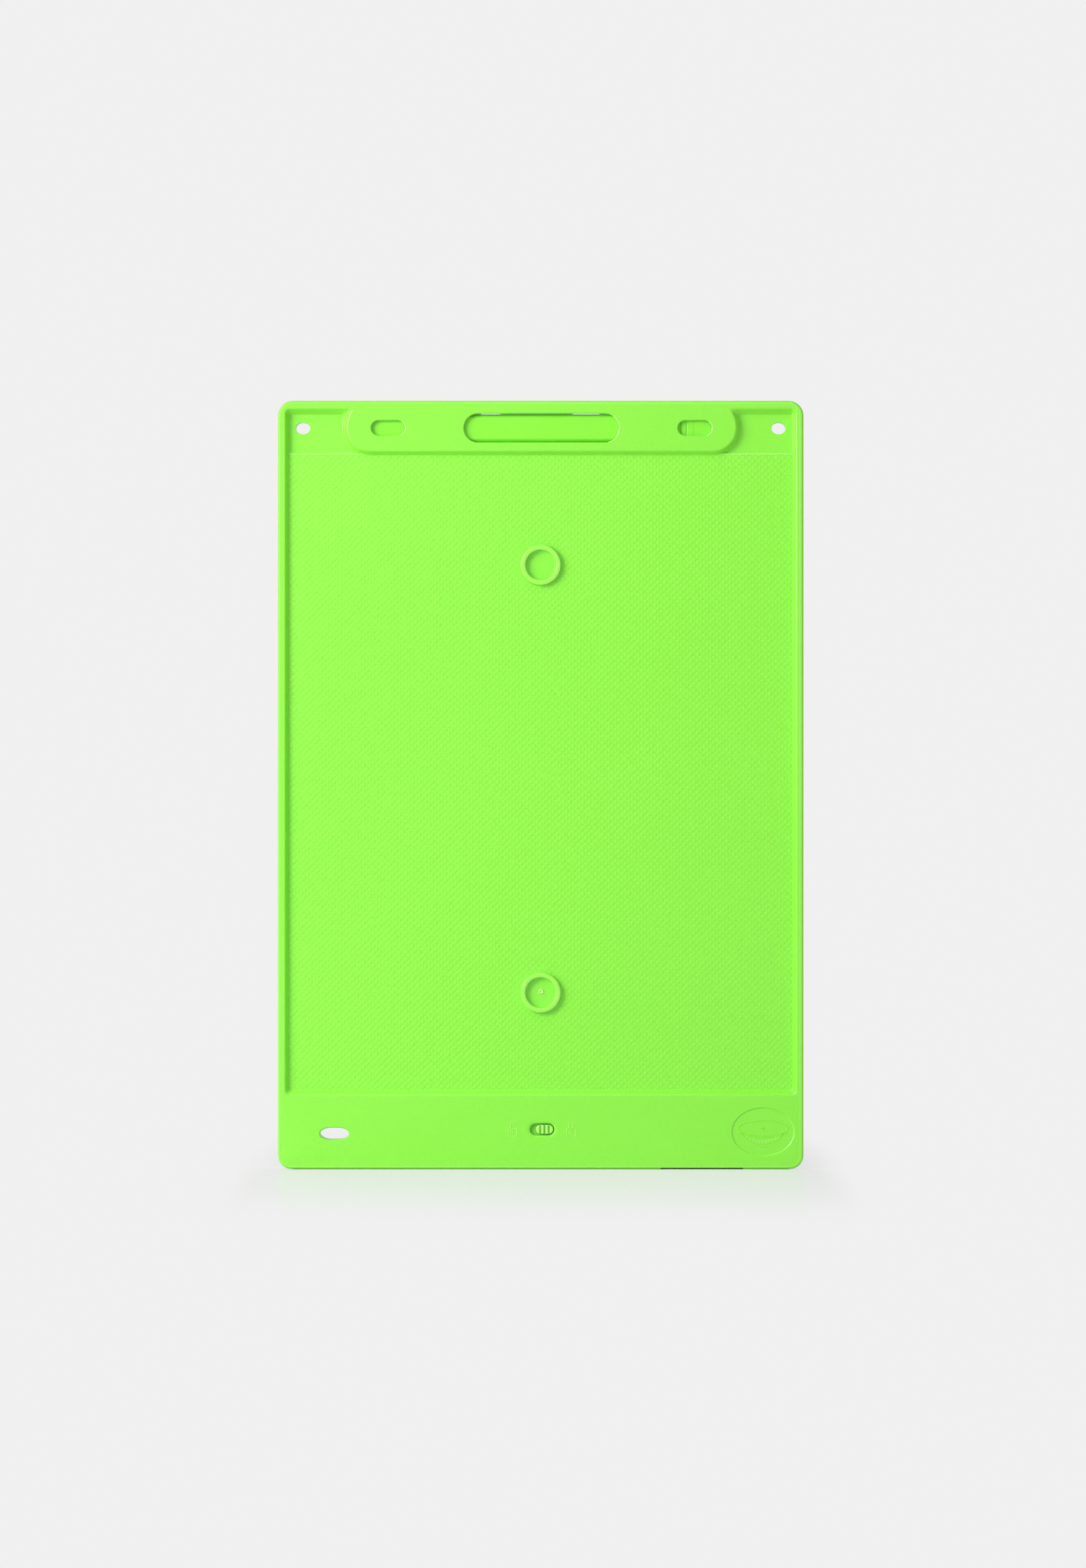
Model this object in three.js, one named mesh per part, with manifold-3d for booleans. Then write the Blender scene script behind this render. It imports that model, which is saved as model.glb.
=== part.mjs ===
// An LCD writing tablet: a thin portrait slate of bright green plastic. It stands on its bottom
// edge with its ribbed back towards -Y, its writing film towards +Y and its top edge towards +Z.
// The origin is the middle of the bottom edge. All sizes are millimetres.
import * as THREE from "three";
import { mergeVertices } from "three/addons/utils/BufferGeometryUtils.js";
import Module from "manifold-3d";

const wasm = await Module();
wasm.setup();

// Outside of the case
const bodyWidth = 170.0;
const bodyHeight = 248.5;
const bodyThickness = 5.6;
const topCornerRadius = 4.8;
const bottomCornerRadius = 4.4;
const edgeFillet = 0.9;

// Walls of the two mouldings
const wall = 1.2;
const sideWall = 1.5;
const bezelFace = 1.0;
const bezelSkirt = 1.4;

// Recess in the back, with the raised grip panel on its floor
const rimTopWidth = 2.55;
const rimSideWidth = 2.4;
const bandHeight = 24.0;
const recessDepth = 2.0;
const pocketExtraDepth = 0.45;
const pocketStepSlope = 0.3;
const recessCornerRadius = 1.6;
const recessFloorCornerRadius = 0.8;
const recessSideSlope = 0.95;
const recessEndSlope = 1.5;
const recessEdgeSpread = 0.4;
const recessEdgeDrop = 0.5;
const pocketHeight = 13.0;
const cavityCornerRadius = 0.5;
const smallestRadius = 0.3;

// Tab over the stylus, and its three windows
const tabCenterX = 0.3;
const tabLength = 125.9;
const tabDepth = 16.3;
const tabEndRadius = 7.6;
const tabEndHeight = 8.7;
const tabNotchRounding = 1.8;
const tabSlope = 1.2;
const windowDrop = 8.85;
const centralWindowLength = 50.2;
const centralWindowHeight = 9.35;
const smallWindowLength = 11.0;
const smallWindowHeight = 4.85;
const smallWindowOffset = 49.6;
const windowEdgeBreak = 0.3;
const tabEndShare = 0.95;

// Stylus and the channel that it lies in
const stylusLength = 121.2;
const stylusWidth = 9.05;
const stylusThickness = 4.0;
const stylusEdgeRadius = 1.5;
const stylusNoseLength = 8.9;
const stylusNibLength = 2.6;
const stylusNibRadius = 1.3;
const stylusNibTipRadius = 0.58;
const stylusNibCollar = 0.65;
const stylusNoseEndWidth = 3.4;
const stylusNoseEndThickness = 3.25;
const stylusNoseCurve = 1.8;
const stylusTailThinning = 0.45;
const stylusGrooveDepth = 0.25;
const stylusGrooveWidth = 0.7;
const stylusGroovePitch = 2.1;
const stylusGrooveCount = 2;
const stylusJointGap = 0.05;
const stylusBackGap = 0.2;
const stylusSeatGap = 0.3;
const stylusHeadroom = 0.65;
const stylusEndGap = 0.6;
const stylusSlotGap = 0.2;
const channelWall = 1.0;
const reliefHeight = 0.85;
const leftReliefCenterX = -16.2;
const leftReliefLength = 6.2;
const rightReliefCenterX = 14.7;
const rightReliefLength = 8.6;

// Hanging holes, lanyard hole and the two rings on the grip panel
const hangHoleInset = 8.0;
const hangHoleDrop = 8.8;
const hangHoleWidth = 4.6;
const hangHoleHeight = 3.8;
const hangHoleWall = 1.0;
const lanyardInset = 18.3;
const lanyardZ = 11.45;
const lanyardLength = 9.4;
const lanyardHeight = 3.9;
const lanyardEndLength = 3.6;
const ringHeights = [57.05, 195.4];
const ringOuterDiameter = 13.2;
const ringInnerDiameter = 9.6;
const ringRise = 1.6;
const ringRounding = 0.5;

// Shallow recess round the battery sign
const signInset = 13.1;
const signZ = 12.05;
const signLength = 20.3;
const signHeight = 15.7;
const signDepth = 0.25;
const signSlope = 0.2;

// Lock switch
const lockX = 0.45;
const lockZ = 12.85;
const lockSlotLength = 7.86;
const lockSlotHeight = 3.83;
const lockKnobLength = 5.7;
const lockKnobHeight = 3.05;
const lockEndGap = 0.28;
const lockDishMargin = 1.1;
const lockDishDepth = 0.45;
const lockPlateMargin = 0.55;
const lockPlateRise = 1.3;
const lockPlateThickness = 0.7;
const lockPlateGap = 0.1;
const lockGrooveWidth = 0.62;
const lockGroovePitch = 1.38;
const lockGrooveDepth = 0.45;
const lockCrownInset = 0.38;
const lockShoulderInset = 0.13;
const lockShoulderDrop = 0.16;
const railWidth = 0.8;
const railLength = 2.6;

// Lip and snap hooks that hold the front on the back
const lipGap = 0.15;
const lipThickness = 0.8;
const lipReach = 2.0;
const grooveWidth = 1.1;
const hookLength = 8.0;
const hookReach = 0.4;
const hookHeight = 0.9;
const hookGap = 0.1;
const hookEndGap = 0.2;
const hookRampHeight = 0.54;
const hookRoot = 0.3;
const sideHookSpacing = 54.0;
const sideHookCount = 4;
const topHookInset = 15.0;
const bottomHookX = [-45.0, 15.0];

// Display
const filmSideGap = 2.25;
const filmTopGap = 5.0;
const windowFrameChamfer = 0.6;
const windowCornerRadius = 1.2;
const windowLand = 0.3;
const filmOverlap = 1.8;
const filmBase = 25.0;
const filmThickness = 0.5;
const boardThickness = 0.5;
const boardBase = 28.0;
const tapeThickness = 0.2;
const tapeWidth = 8.0;
const tapeGap = 0.3;
const flexWidth = 9.0;
const flexThickness = 0.12;
const flexOverlap = 2.3;
const flexX = -14.0;

// Circuit board and what is soldered to it
const circuitLeft = -26.0;
const circuitTrayGap = 2.25;
const circuitBase = 3.0;
const circuitHeight = 18.4;
const circuitThickness = 0.8;
const circuitStandoff = 1.4;
const postLeftInset = 4.0;
const postRightInset = 8.5;
const postZ = 17.5;
const postDiameter = 2.0;
const postHoleGap = 0.15;
const postShoulder = 1.0;
const postHead = 0.5;
const slideSwitchLength = 6.7;
const slideSwitchWidth = 2.8;
const slideSwitchHeight = 1.25;
const leverWidth = 1.3;
const leverThickness = 0.6;
const leverReach = 1.6;
const leverRoot = 0.8;
const leverGap = 0.1;
const switchDrop = 0.9;
const tactSize = 5.2;
const tactHeight = 0.5;
const plungerDiameter = 2.4;
const plungerHeight = 0.35;
const plungerSink = 0.1;
const plungerGap = 0.1;
const plungerTopDiameter = 1.9;
const plungerShoulder = 0.31;
const tactFloor = 0.08;
const chipX = 17.0;
const chipZ = 11.5;
const chipLength = 4.9;
const chipWidth = 3.9;
const chipHeight = 1.2;
const inductorX = -13.0;
const inductorZ = 9.0;
const inductorDiameter = 5.0;
const inductorWaistDiameter = 3.6;
const inductorHeight = 1.2;
const inductorFlange = 0.26;
const diodeX = -19.5;
const diodeZ = 8.0;
const diodeLength = 2.7;
const diodeWidth = 1.6;
const diodeHeight = 1.0;
const capacitorX = -13.0;
const capacitorZ = 15.5;
const capacitorLength = 3.2;
const capacitorWidth = 1.6;
const capacitorHeight = 1.1;
const resistorX = 11.5;
const resistorZ = 14.5;
const resistorLength = 2.0;
const resistorWidth = 1.25;
const resistorHeight = 0.5;

// Erase button
const buttonX = 0.0;
const buttonZ = 11.9;
const buttonLength = 17.0;
const buttonWidth = 7.6;
const buttonProud = 0.4;
const buttonRounding = 0.35;
const buttonGap = 0.15;
const buttonFlange = 0.8;
const buttonFlangeThickness = 0.25;

// Coin cell, its tray and its two contacts
const cellDiameter = 20.0;
const cellThickness = 1.6;
const cellCapDiameter = 17.6;
const cellCapRise = 0.2;
const cellRounding = 0.25;
const trayInset = 32.95;
const trayMouthWidth = 26.6;
const trayGap = 0.25;
const trayCellGap = 0.15;
const trayLipHeight = 1.55;
const trayLipThickness = 3.5;
const trayBodyThickness = 2.5;
const trayLedge = 0.8;
const trayLedgeThickness = 0.3;
const trayOpening = 11.0;
const trayArmLength = 18.0;
const trayFaceSetback = 0.4;
const trayFaceGap = 0.1;
const trayNailWidth = 12.0;
const trayNailDepth = 0.5;
const trayCornerRadius = 3.0;
const trayRootRadius = 0.05;
const bayRib = 1.4;
const contactThickness = 0.2;
const contactWidth = 4.0;
const contactZ = 12.0;
const contactReach = 15.5;
const contactPad = 3.2;
const contactTip = 3.0;
const contactRamp = 3.2;
const contactGap = 0.05;

// Fineness of the curves
const cornerSteps = 7;
const filletSteps = 3;
const turnSteps = 36;
const stylusSteps = 5;
const smallTurnSteps = 18;

// Working amounts: how far a cut runs past what it cuts, how far a rib's root runs into its wall,
// and how far the ends of a slot stop short of a full half circle
const overcut = 1.0;
const rootSink = 0.1;
const endFlat = 0.02;

// Planes that the pieces share, counted through the thickness
const totalThickness = bodyThickness + buttonProud;
const backY = -totalThickness / 2;
const frontY = backY + bodyThickness;
const partingY = frontY - bezelSkirt;
const bezelInnerY = frontY - bezelFace;
const panelY = backY + recessDepth;
const pocketY = panelY + pocketExtraDepth;
const floorY = panelY + wall;
const cavityY = backY + wall;
const lipEndY = partingY - lipReach;
const circuitBackY = cavityY + circuitStandoff;
const circuitFrontY = circuitBackY + circuitThickness;
const boardBackY = floorY + tapeThickness;
const filmBackY = boardBackY + boardThickness;
const filmFrontY = filmBackY + filmThickness;
const trayFrontY = partingY - trayFaceGap;
const trayLipBackY = trayFrontY - trayLipThickness;
const cellFrontY = trayFrontY - trayLedgeThickness;
const cellBackY = cellFrontY - cellThickness;

// Planes and lines that the pieces share, counted up and across
const windowZ = bodyHeight - windowDrop;
const hangHoleZ = bodyHeight - hangHoleDrop;
const tabBottomZ = bodyHeight - tabDepth;
const pocketBottomZ = bodyHeight - rimTopWidth - recessEndSlope - pocketHeight;
const grooveInset = sideWall + grooveWidth;
const channelTopZ = bodyHeight - grooveInset - channelWall;
const stylusTopZ = channelTopZ - stylusHeadroom;
const stylusBottomZ = stylusTopZ - stylusWidth;
const stylusMidZ = stylusBottomZ + stylusWidth / 2;
const channelBottomZ = stylusBottomZ - stylusSeatGap;
const stylusStartX = tabCenterX - stylusLength / 2;
const stylusEndX = tabCenterX + stylusLength / 2;
const stylusBackY = cavityY + stylusBackGap;
const stylusMidY = stylusBackY + stylusThickness / 2;
const lockTravel = lockSlotLength - lockKnobLength - 2 * lockEndGap;
const lockKnobX = lockX + lockTravel / 2;
const lockPlateTopZ = lockZ + lockSlotHeight / 2 + lockPlateRise;
const lockPlateBottomZ = lockZ - lockSlotHeight / 2 - lockPlateRise;
const switchBottomZ = lockPlateTopZ + switchDrop;
const hangHoleX = bodyWidth / 2 - hangHoleInset;
const lanyardX = lanyardInset - bodyWidth / 2;
const signX = bodyWidth / 2 - signInset;
const topHookX = bodyWidth / 2 - topHookInset;
const trayCenterX = bodyWidth / 2 - trayInset;
const trayLeftX = trayCenterX - trayMouthWidth / 2;
const trayRightX = trayCenterX + trayMouthWidth / 2;
const circuitRight = trayLeftX - circuitTrayGap;
const postX = [circuitLeft + postLeftInset, circuitRight - postRightInset];
const trayFaceZ = trayFaceSetback + trayFaceGap;
const cellZ = trayFaceZ + trayLipHeight + trayCellGap + cellDiameter / 2;
const lipInset = sideWall + lipGap;
const filmHalf = bodyWidth / 2 - lipInset - lipThickness - filmSideGap;
const filmTop = channelBottomZ - channelWall - filmTopGap;
const windowHalf = filmHalf - filmOverlap;
const windowBase = filmBase + filmOverlap;
const windowTop = filmTop - filmOverlap;
const plungerBaseY = circuitFrontY + tactHeight - plungerSink;
const plungerTopY = circuitFrontY + tactHeight + plungerHeight;

// Colours, as they look on the real thing
const green = { color: 0x92f34e, roughness: 0.55, metalness: 0.0 };
const steel = { color: 0xc8cacd, roughness: 0.3, metalness: 1.0 };
const nickel = { color: 0xb9b6ac, roughness: 0.35, metalness: 1.0 };
const darkFilm = { color: 0x0d1310, roughness: 0.12, metalness: 0.0 };
const boardBlack = { color: 0x17181a, roughness: 0.7, metalness: 0.0 };
const tapeWhite = { color: 0xe8e6df, roughness: 0.8, metalness: 0.0 };
const laminate = { color: 0x1d6b3a, roughness: 0.45, metalness: 0.0 };
const amber = { color: 0xc9822b, roughness: 0.35, metalness: 0.0 };
const blackPlastic = { color: 0x1c1c1e, roughness: 0.5, metalness: 0.0 };
const ferrite = { color: 0x3c3c40, roughness: 0.6, metalness: 0.0 };
const ceramicTan = { color: 0xb89a6c, roughness: 0.5, metalness: 0.0 };

// Turns a closed three.js geometry into a solid that can be joined and cut.
function solid(geometry) {
  const bare = geometry.clone();
  bare.deleteAttribute("normal");
  bare.deleteAttribute("uv");
  const merged = mergeVertices(bare, 1e-5);
  const vertProperties = new Float32Array(merged.attributes.position.array);
  const triVerts = new Uint32Array(merged.index.array);
  return new wasm.Manifold(new wasm.Mesh({ numProp: 3, vertProperties, triVerts }));
}

// Turns a solid back into a three.js geometry.
function geometryOf(body) {
  const mesh = body.getMesh();
  const geometry = new THREE.BufferGeometry();
  geometry.setAttribute("position", new THREE.BufferAttribute(new Float32Array(mesh.vertProperties), 3));
  geometry.setIndex(new THREE.BufferAttribute(new Uint32Array(mesh.triVerts), 1));
  geometry.computeVertexNormals();
  return geometry;
}

// An arc of an ellipse in the X-Z plane, as points.
function arc(x, z, radiusX, radiusZ, from, to, steps = cornerSteps) {
  return new THREE.EllipseCurve(x, z, radiusX, radiusZ, from, to, to < from).getPoints(steps);
}

// A rectangle with round corners, counter-clockwise seen from the back.
function roundedRectangle(x0, z0, x1, z1, bottomRadius, topRadius = bottomRadius, steps = cornerSteps) {
  const quarter = Math.PI / 2;
  const low = bottomRadius;
  const high = topRadius;
  return [
    ...arc(x1 - low, z0 + low, low, low, -quarter, 0, steps),
    ...arc(x1 - high, z1 - high, high, high, 0, quarter, steps),
    ...arc(x0 + high, z1 - high, high, high, quarter, 2 * quarter, steps),
    ...arc(x0 + low, z0 + low, low, low, 2 * quarter, 3 * quarter, steps),
  ];
}

// A long hole: flat top and bottom, with ends that are half ellipses.
function ovalSlot(x, z, length, height, endLength = height / 2) {
  const half = Math.PI / 2;
  const straight = length / 2 - endLength;
  return [
    ...arc(x + straight, z, endLength, height / 2, -half, half, 2 * cornerSteps),
    ...arc(x - straight, z, endLength, height / 2, half, 3 * half, 2 * cornerSteps),
  ];
}

// A full ellipse.
function ellipse(x, z, width, height) {
  return arc(x, z, width / 2, height / 2, 0, 2 * Math.PI, turnSteps).slice(0, turnSteps);
}

// The outline of the case, drawn in by an inset.
function caseOutline(inset) {
  const half = bodyWidth / 2 - inset;
  const low = Math.max(bottomCornerRadius - inset, smallestRadius);
  const high = Math.max(topCornerRadius - inset, smallestRadius);
  return roundedRectangle(-half, inset, half, bodyHeight - inset, low, high);
}

// A plate with straight walls, from an outline in the X-Z plane.
function plate(points, fromY, toY) {
  const options = { depth: toY - fromY, bevelEnabled: false, steps: 1 };
  const geometry = new THREE.ExtrudeGeometry(new THREE.Shape(points), options);
  const upright = new THREE.Matrix4().set(1, 0, 0, 0, 0, 0, -1, toY, 0, 1, 0, 0, 0, 0, 0, 1);
  return solid(geometry.applyMatrix4(upright));
}

// A body through a row of outlines with the same number of points, each at its own depth.
function loft(sections) {
  const count = sections[0].points.length;
  const positions = sections.flatMap(({ points, y }) => points.flatMap((p) => [p.x, y, p.y]));
  const index = [];
  for (let s = 0; s < sections.length - 1; s += 1) {
    for (let i = 0; i < count; i += 1) {
      const a = s * count + i;
      const b = s * count + ((i + 1) % count);
      index.push(a, a + count, b + count, a, b + count, b);
    }
  }
  const last = (sections.length - 1) * count;
  THREE.ShapeUtils.triangulateShape(sections[0].points, []).forEach(([a, b, c]) => index.push(a, b, c));
  THREE.ShapeUtils.triangulateShape(sections.at(-1).points, []).forEach(([a, b, c]) => {
    index.push(last + a, last + c, last + b);
  });
  const geometry = new THREE.BufferGeometry();
  geometry.setAttribute("position", new THREE.Float32BufferAttribute(positions, 3));
  geometry.setIndex(index);
  return solid(geometry);
}

// A box between two corners.
function block(x0, y0, z0, x1, y1, z1) {
  const geometry = new THREE.BoxGeometry(x1 - x0, y1 - y0, z1 - z0);
  geometry.translate((x0 + x1) / 2, (y0 + y1) / 2, (z0 + z1) / 2);
  return solid(geometry);
}

// A turned body about a line along Y. The profile runs from the axis to the axis.
function turned(x, z, profile, steps = turnSteps) {
  const points = profile.map(([radius, y]) => new THREE.Vector2(radius, y));
  const geometry = new THREE.LatheGeometry(points, steps);
  geometry.translate(x, 0, z);
  return solid(geometry);
}

// A cut through the back wall whose outer edge is broken by a small chamfer.
function edgedCut(outlineAt, outerY, innerY, edgeBreak) {
  return loft([
    { points: outlineAt(edgeBreak + overcut), y: outerY - overcut },
    { points: outlineAt(0), y: outerY + edgeBreak },
    { points: outlineAt(0), y: innerY },
  ]);
}

// The places of the snap hooks: a point on the lip's outer face and the turn of its outward side.
function hookPlaces() {
  const side = bodyWidth / 2;
  const places = [];
  for (let i = 0; i < sideHookCount; i += 1) {
    const z = bodyHeight / 2 + (i - (sideHookCount - 1) / 2) * sideHookSpacing;
    places.push({ x: side, z, turn: 0 });
    places.push({ x: -side, z, turn: Math.PI });
  }
  places.push({ x: topHookX, z: bodyHeight, turn: -Math.PI / 2 });
  places.push({ x: -topHookX, z: bodyHeight, turn: -Math.PI / 2 });
  bottomHookX.forEach((x) => places.push({ x, z: 0, turn: Math.PI / 2 }));
  return places;
}

// A bar whose section is drawn outwards from the case's edge, laid along that edge.
function edgeBar(place, section, length) {
  const shape = new THREE.Shape(section.map(([inset, y]) => new THREE.Vector2(-inset, y)));
  const geometry = new THREE.ExtrudeGeometry(shape, { depth: length, bevelEnabled: false, steps: 1 });
  geometry.translate(0, 0, -length / 2);
  geometry.rotateY(place.turn);
  geometry.translate(place.x, 0, place.z);
  return solid(geometry);
}

// One end of the stylus tab, from its lower edge up to the recess's top wall, with the notch
// between them rounded. Side is -1 at the left and 1 at the right.
function tabEnd(side, depth, high) {
  const x = tabCenterX + side * (tabLength / 2 - tabEndRadius);
  const middle = tabBottomZ + tabEndRadius;
  const across = tabEndRadius + depth * tabSlope;
  const up = tabEndHeight + depth * tabSlope;
  const rise = Math.min(high - middle, up * tabEndShare);
  const start = Math.asin(Math.max(rise - tabNotchRounding, 0) / up);
  const lower = arc(0, middle, across, across, -Math.PI / 2, 0, 2 * cornerSteps);
  const upper = arc(0, middle, across, up, 0, start);
  const meet = new THREE.Vector2(across * Math.cos(Math.asin(rise / up)), middle + rise);
  const wallPoint = new THREE.Vector2(meet.x + tabNotchRounding, meet.y);
  const notch = new THREE.QuadraticBezierCurve(upper.at(-1), meet, wallPoint).getPoints(cornerSteps);
  const points = [...lower, ...upper.slice(1), ...notch.slice(1)];
  return points.map((point) => new THREE.Vector2(x + side * point.x, point.y));
}

// The outline of the recess in the back, which runs round the stylus tab. Depth goes from 0 at
// the rim's face to 1 at the recess floor, and the walls slope in between.
function recessOutline(depth) {
  const half = bodyWidth / 2 - rimSideWidth - depth * recessSideSlope;
  const low = bandHeight + depth * recessEndSlope;
  const high = bodyHeight - rimTopWidth - depth * recessEndSlope;
  const corner = recessCornerRadius + depth * (recessFloorCornerRadius - recessCornerRadius);
  const quarter = Math.PI / 2;
  return [
    ...arc(half - corner, low + corner, corner, corner, -quarter, 0),
    ...arc(half - corner, high - corner, corner, corner, 0, quarter),
    ...tabEnd(1, depth, high).reverse(),
    ...tabEnd(-1, depth, high),
    ...arc(-half + corner, high - corner, corner, corner, quarter, 2 * quarter),
    ...arc(-half + corner, low + corner, corner, corner, 2 * quarter, 3 * quarter),
  ];
}

// What is cut out of the back down to the grip panel. Its edge is rounded over, from the rim's
// face into the sloping wall.
function recessCut() {
  const sections = [{ points: recessOutline(-recessEdgeSpread), y: backY - overcut }];
  for (let i = 0; i <= filletSteps; i += 1) {
    const t = i / filletSteps;
    const drop = t * t * recessEdgeDrop;
    const depth = drop / recessDepth - (1 - t) * (1 - t) * recessEdgeSpread;
    sections.push({ points: recessOutline(depth), y: backY + drop });
  }
  sections.push({ points: recessOutline(1), y: panelY });
  return loft(sections);
}

// The pockets beside the tab, sunk below the grip panel behind a sloping step.
function pocketCut() {
  const half = bodyWidth / 2;
  const beside = loft([
    { points: recessOutline(1), y: panelY - overcut },
    { points: recessOutline(1), y: panelY },
    { points: recessOutline(1 + pocketExtraDepth / recessDepth), y: pocketY },
  ]);
  const above = [
    { rise: 0, y: panelY - 2 * overcut },
    { rise: 0, y: panelY },
    { rise: pocketStepSlope, y: pocketY },
    { rise: pocketStepSlope, y: pocketY + overcut },
  ];
  return beside.intersect(loft(above.map(({ rise, y }) => {
    const low = pocketBottomZ + rise;
    const corners = [[-half, low], [half, low], [half, bodyHeight], [-half, bodyHeight]];
    return { points: corners.map(([x, z]) => new THREE.Vector2(x, z)), y };
  })));
}

// The outer form of one shell, with its outside edge rounded.
function shellForm(faceY, edgeY) {
  const outward = Math.sign(edgeY - faceY);
  const sections = [];
  for (let i = 0; i <= filletSteps; i += 1) {
    const angle = (i / filletSteps) * (Math.PI / 2);
    const inset = edgeFillet * (1 - Math.sin(angle));
    sections.push({ points: caseOutline(inset), y: faceY + outward * edgeFillet * (1 - Math.cos(angle)) });
  }
  sections.push({ points: caseOutline(0), y: edgeY });
  return loft(outward > 0 ? sections : sections.reverse());
}

// The channel that the stylus lies in, grown outwards by a margin.
function channelOutline(margin) {
  const half = stylusLength / 2 + stylusEndGap + margin;
  const low = channelBottomZ - margin;
  const high = channelTopZ + margin;
  return roundedRectangle(tabCenterX - half, low, tabCenterX + half, high, (high - low) / 2 - endFlat);
}

// A round foot ring that stands on the grip panel.
function panelRing(z) {
  const outer = ringOuterDiameter / 2;
  const inner = ringInnerDiameter / 2;
  const top = panelY - ringRise;
  const root = panelY + wall / 2;
  const steps = filletSteps;
  const rounding = [];
  for (let i = 0; i <= steps; i += 1) {
    const angle = (i / steps) * (Math.PI / 2);
    rounding.push([ringRounding * (1 - Math.sin(angle)), ringRounding * (1 - Math.cos(angle))]);
  }
  const outside = rounding.map(([inset, drop]) => [outer - inset, top + drop]);
  const inside = rounding.map(([inset, drop]) => [inner + inset, top + drop]);
  const profile = [[inner, root], [outer, root], ...outside.reverse(), ...inside];
  return turned(0, z, [...profile, profile[0]].reverse());
}

// The groove behind the rim that the front's lip drops into.
function rimGroove() {
  const outer = plate(caseOutline(sideWall), cavityY, partingY + overcut);
  return outer.subtract(plate(caseOutline(grooveInset), cavityY - overcut, partingY + 2 * overcut));
}

// The hollow that holds the circuit board and the coin cell, behind the plain band.
function bandCavity() {
  const half = bodyWidth / 2 - sideWall;
  const corner = bottomCornerRadius - sideWall;
  const outline = roundedRectangle(-half, sideWall, half, bandHeight - wall, corner, cavityCornerRadius);
  return plate(outline, cavityY, partingY + overcut);
}

// Both rails and the end ribs that guide the lock slider.
function lockRails() {
  const near = cavityY - rootSink;
  const far = cavityY + lockPlateThickness + lockPlateGap;
  const left = lockX - lockSlotLength / 2;
  const right = lockX + lockSlotLength / 2 + lockTravel;
  const low = lockPlateBottomZ - lockEndGap;
  const high = lockPlateTopZ + lockEndGap;
  return [
    block(left, near, low - railWidth, right, far, low),
    block(left - railLength / 2, near, high, left + railLength / 2, far, high + railWidth / 2),
    block(right - railLength / 2, near, high, right + railLength / 2, far, high + railWidth / 2),
  ];
}

// The posts that the circuit board is staked on, with the shoulders that it rests on.
function circuitPosts() {
  const radius = postDiameter / 2;
  return postX.map((x) => turned(x, postZ, [
    [0, cavityY - rootSink],
    [radius + postShoulder, cavityY - rootSink],
    [radius + postShoulder, circuitBackY],
    [radius, circuitBackY],
    [radius, circuitFrontY + postHead],
    [0, circuitFrontY + postHead],
  ], smallTurnSteps));
}

// The two ribs beside the coin cell's tray, notched where the contacts pass.
function trayRibs() {
  const top = bandHeight - wall + rootSink;
  const start = sideWall - rootSink;
  const near = cavityY - rootSink;
  const left = block(trayLeftX - bayRib, near, start, trayLeftX, partingY, top);
  const right = block(trayRightX, near, start, trayRightX + bayRib, partingY, top);
  const notch = contactWidth / 2 + trayGap;
  const through = block(trayLeftX - bayRib - overcut, cavityY, contactZ - notch,
    trayLeftX + overcut, cavityY + 2 * contactThickness + contactGap, contactZ + notch);
  return left.subtract(through).add(right);
}

// The mouth that the coin cell's tray slides out of, with its edge cut back for a fingernail.
function trayMouth() {
  const far = partingY + overcut;
  const mouth = block(trayLeftX, trayLipBackY - trayFaceGap, -overcut,
    trayRightX, far, trayFaceZ + trayLipHeight + trayGap);
  const passage = block(trayLeftX, cavityY, -overcut, trayRightX, far, grooveInset);
  const setback = block(trayLeftX, backY - overcut, -overcut, trayRightX, far, trayFaceSetback);
  return mouth.add(passage).add(setback);
}

// The back moulding: rim, plain band, grip panel, stylus channel and all that is moulded inside.
function backCover() {
  let cover = shellForm(backY, partingY);
  cover = cover.subtract(recessCut()).subtract(pocketCut()).subtract(signRecess());
  ringHeights.forEach((z) => {
    cover = cover.add(panelRing(z));
  });
  cover = cover.subtract(plate(caseOutline(sideWall), floorY, partingY + overcut));
  cover = cover.subtract(rimGroove()).subtract(bandCavity());

  const channelRim = plate(channelOutline(channelWall), floorY - rootSink, bezelInnerY);
  cover = cover.add(channelRim);
  [-1, 1].forEach((side) => {
    const width = hangHoleWidth + 2 * hangHoleWall;
    const height = hangHoleHeight + 2 * hangHoleWall;
    const collar = ellipse(side * hangHoleX, hangHoleZ, width, height);
    cover = cover.add(plate(collar, floorY - rootSink, bezelInnerY));
  });
  const lanyardBoss = ovalSlot(lanyardX, lanyardZ, lanyardLength + 2 * wall, lanyardHeight + 2 * wall,
    lanyardEndLength + wall);
  cover = cover.add(plate(lanyardBoss, cavityY - rootSink, bezelInnerY));
  lockRails().forEach((rail) => {
    cover = cover.add(rail);
  });
  circuitPosts().forEach((post) => {
    cover = cover.add(post);
  });
  cover = cover.add(trayRibs());

  cover = cover.subtract(plate(channelOutline(0), cavityY, bezelInnerY + overcut));
  cover = cover.subtract(coverOpenings()).subtract(trayMouth());
  hookPlaces().forEach((place) => {
    const outer = sideWall - hookReach - hookGap;
    const inner = sideWall + rootSink;
    const high = lipEndY + hookHeight + hookGap;
    const low = lipEndY - hookGap;
    const section = [[inner, high], [outer, high], [outer, low], [inner, low]];
    cover = cover.subtract(edgeBar(place, section, hookLength + 2 * hookEndGap));
  });
  return cover;
}

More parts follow.
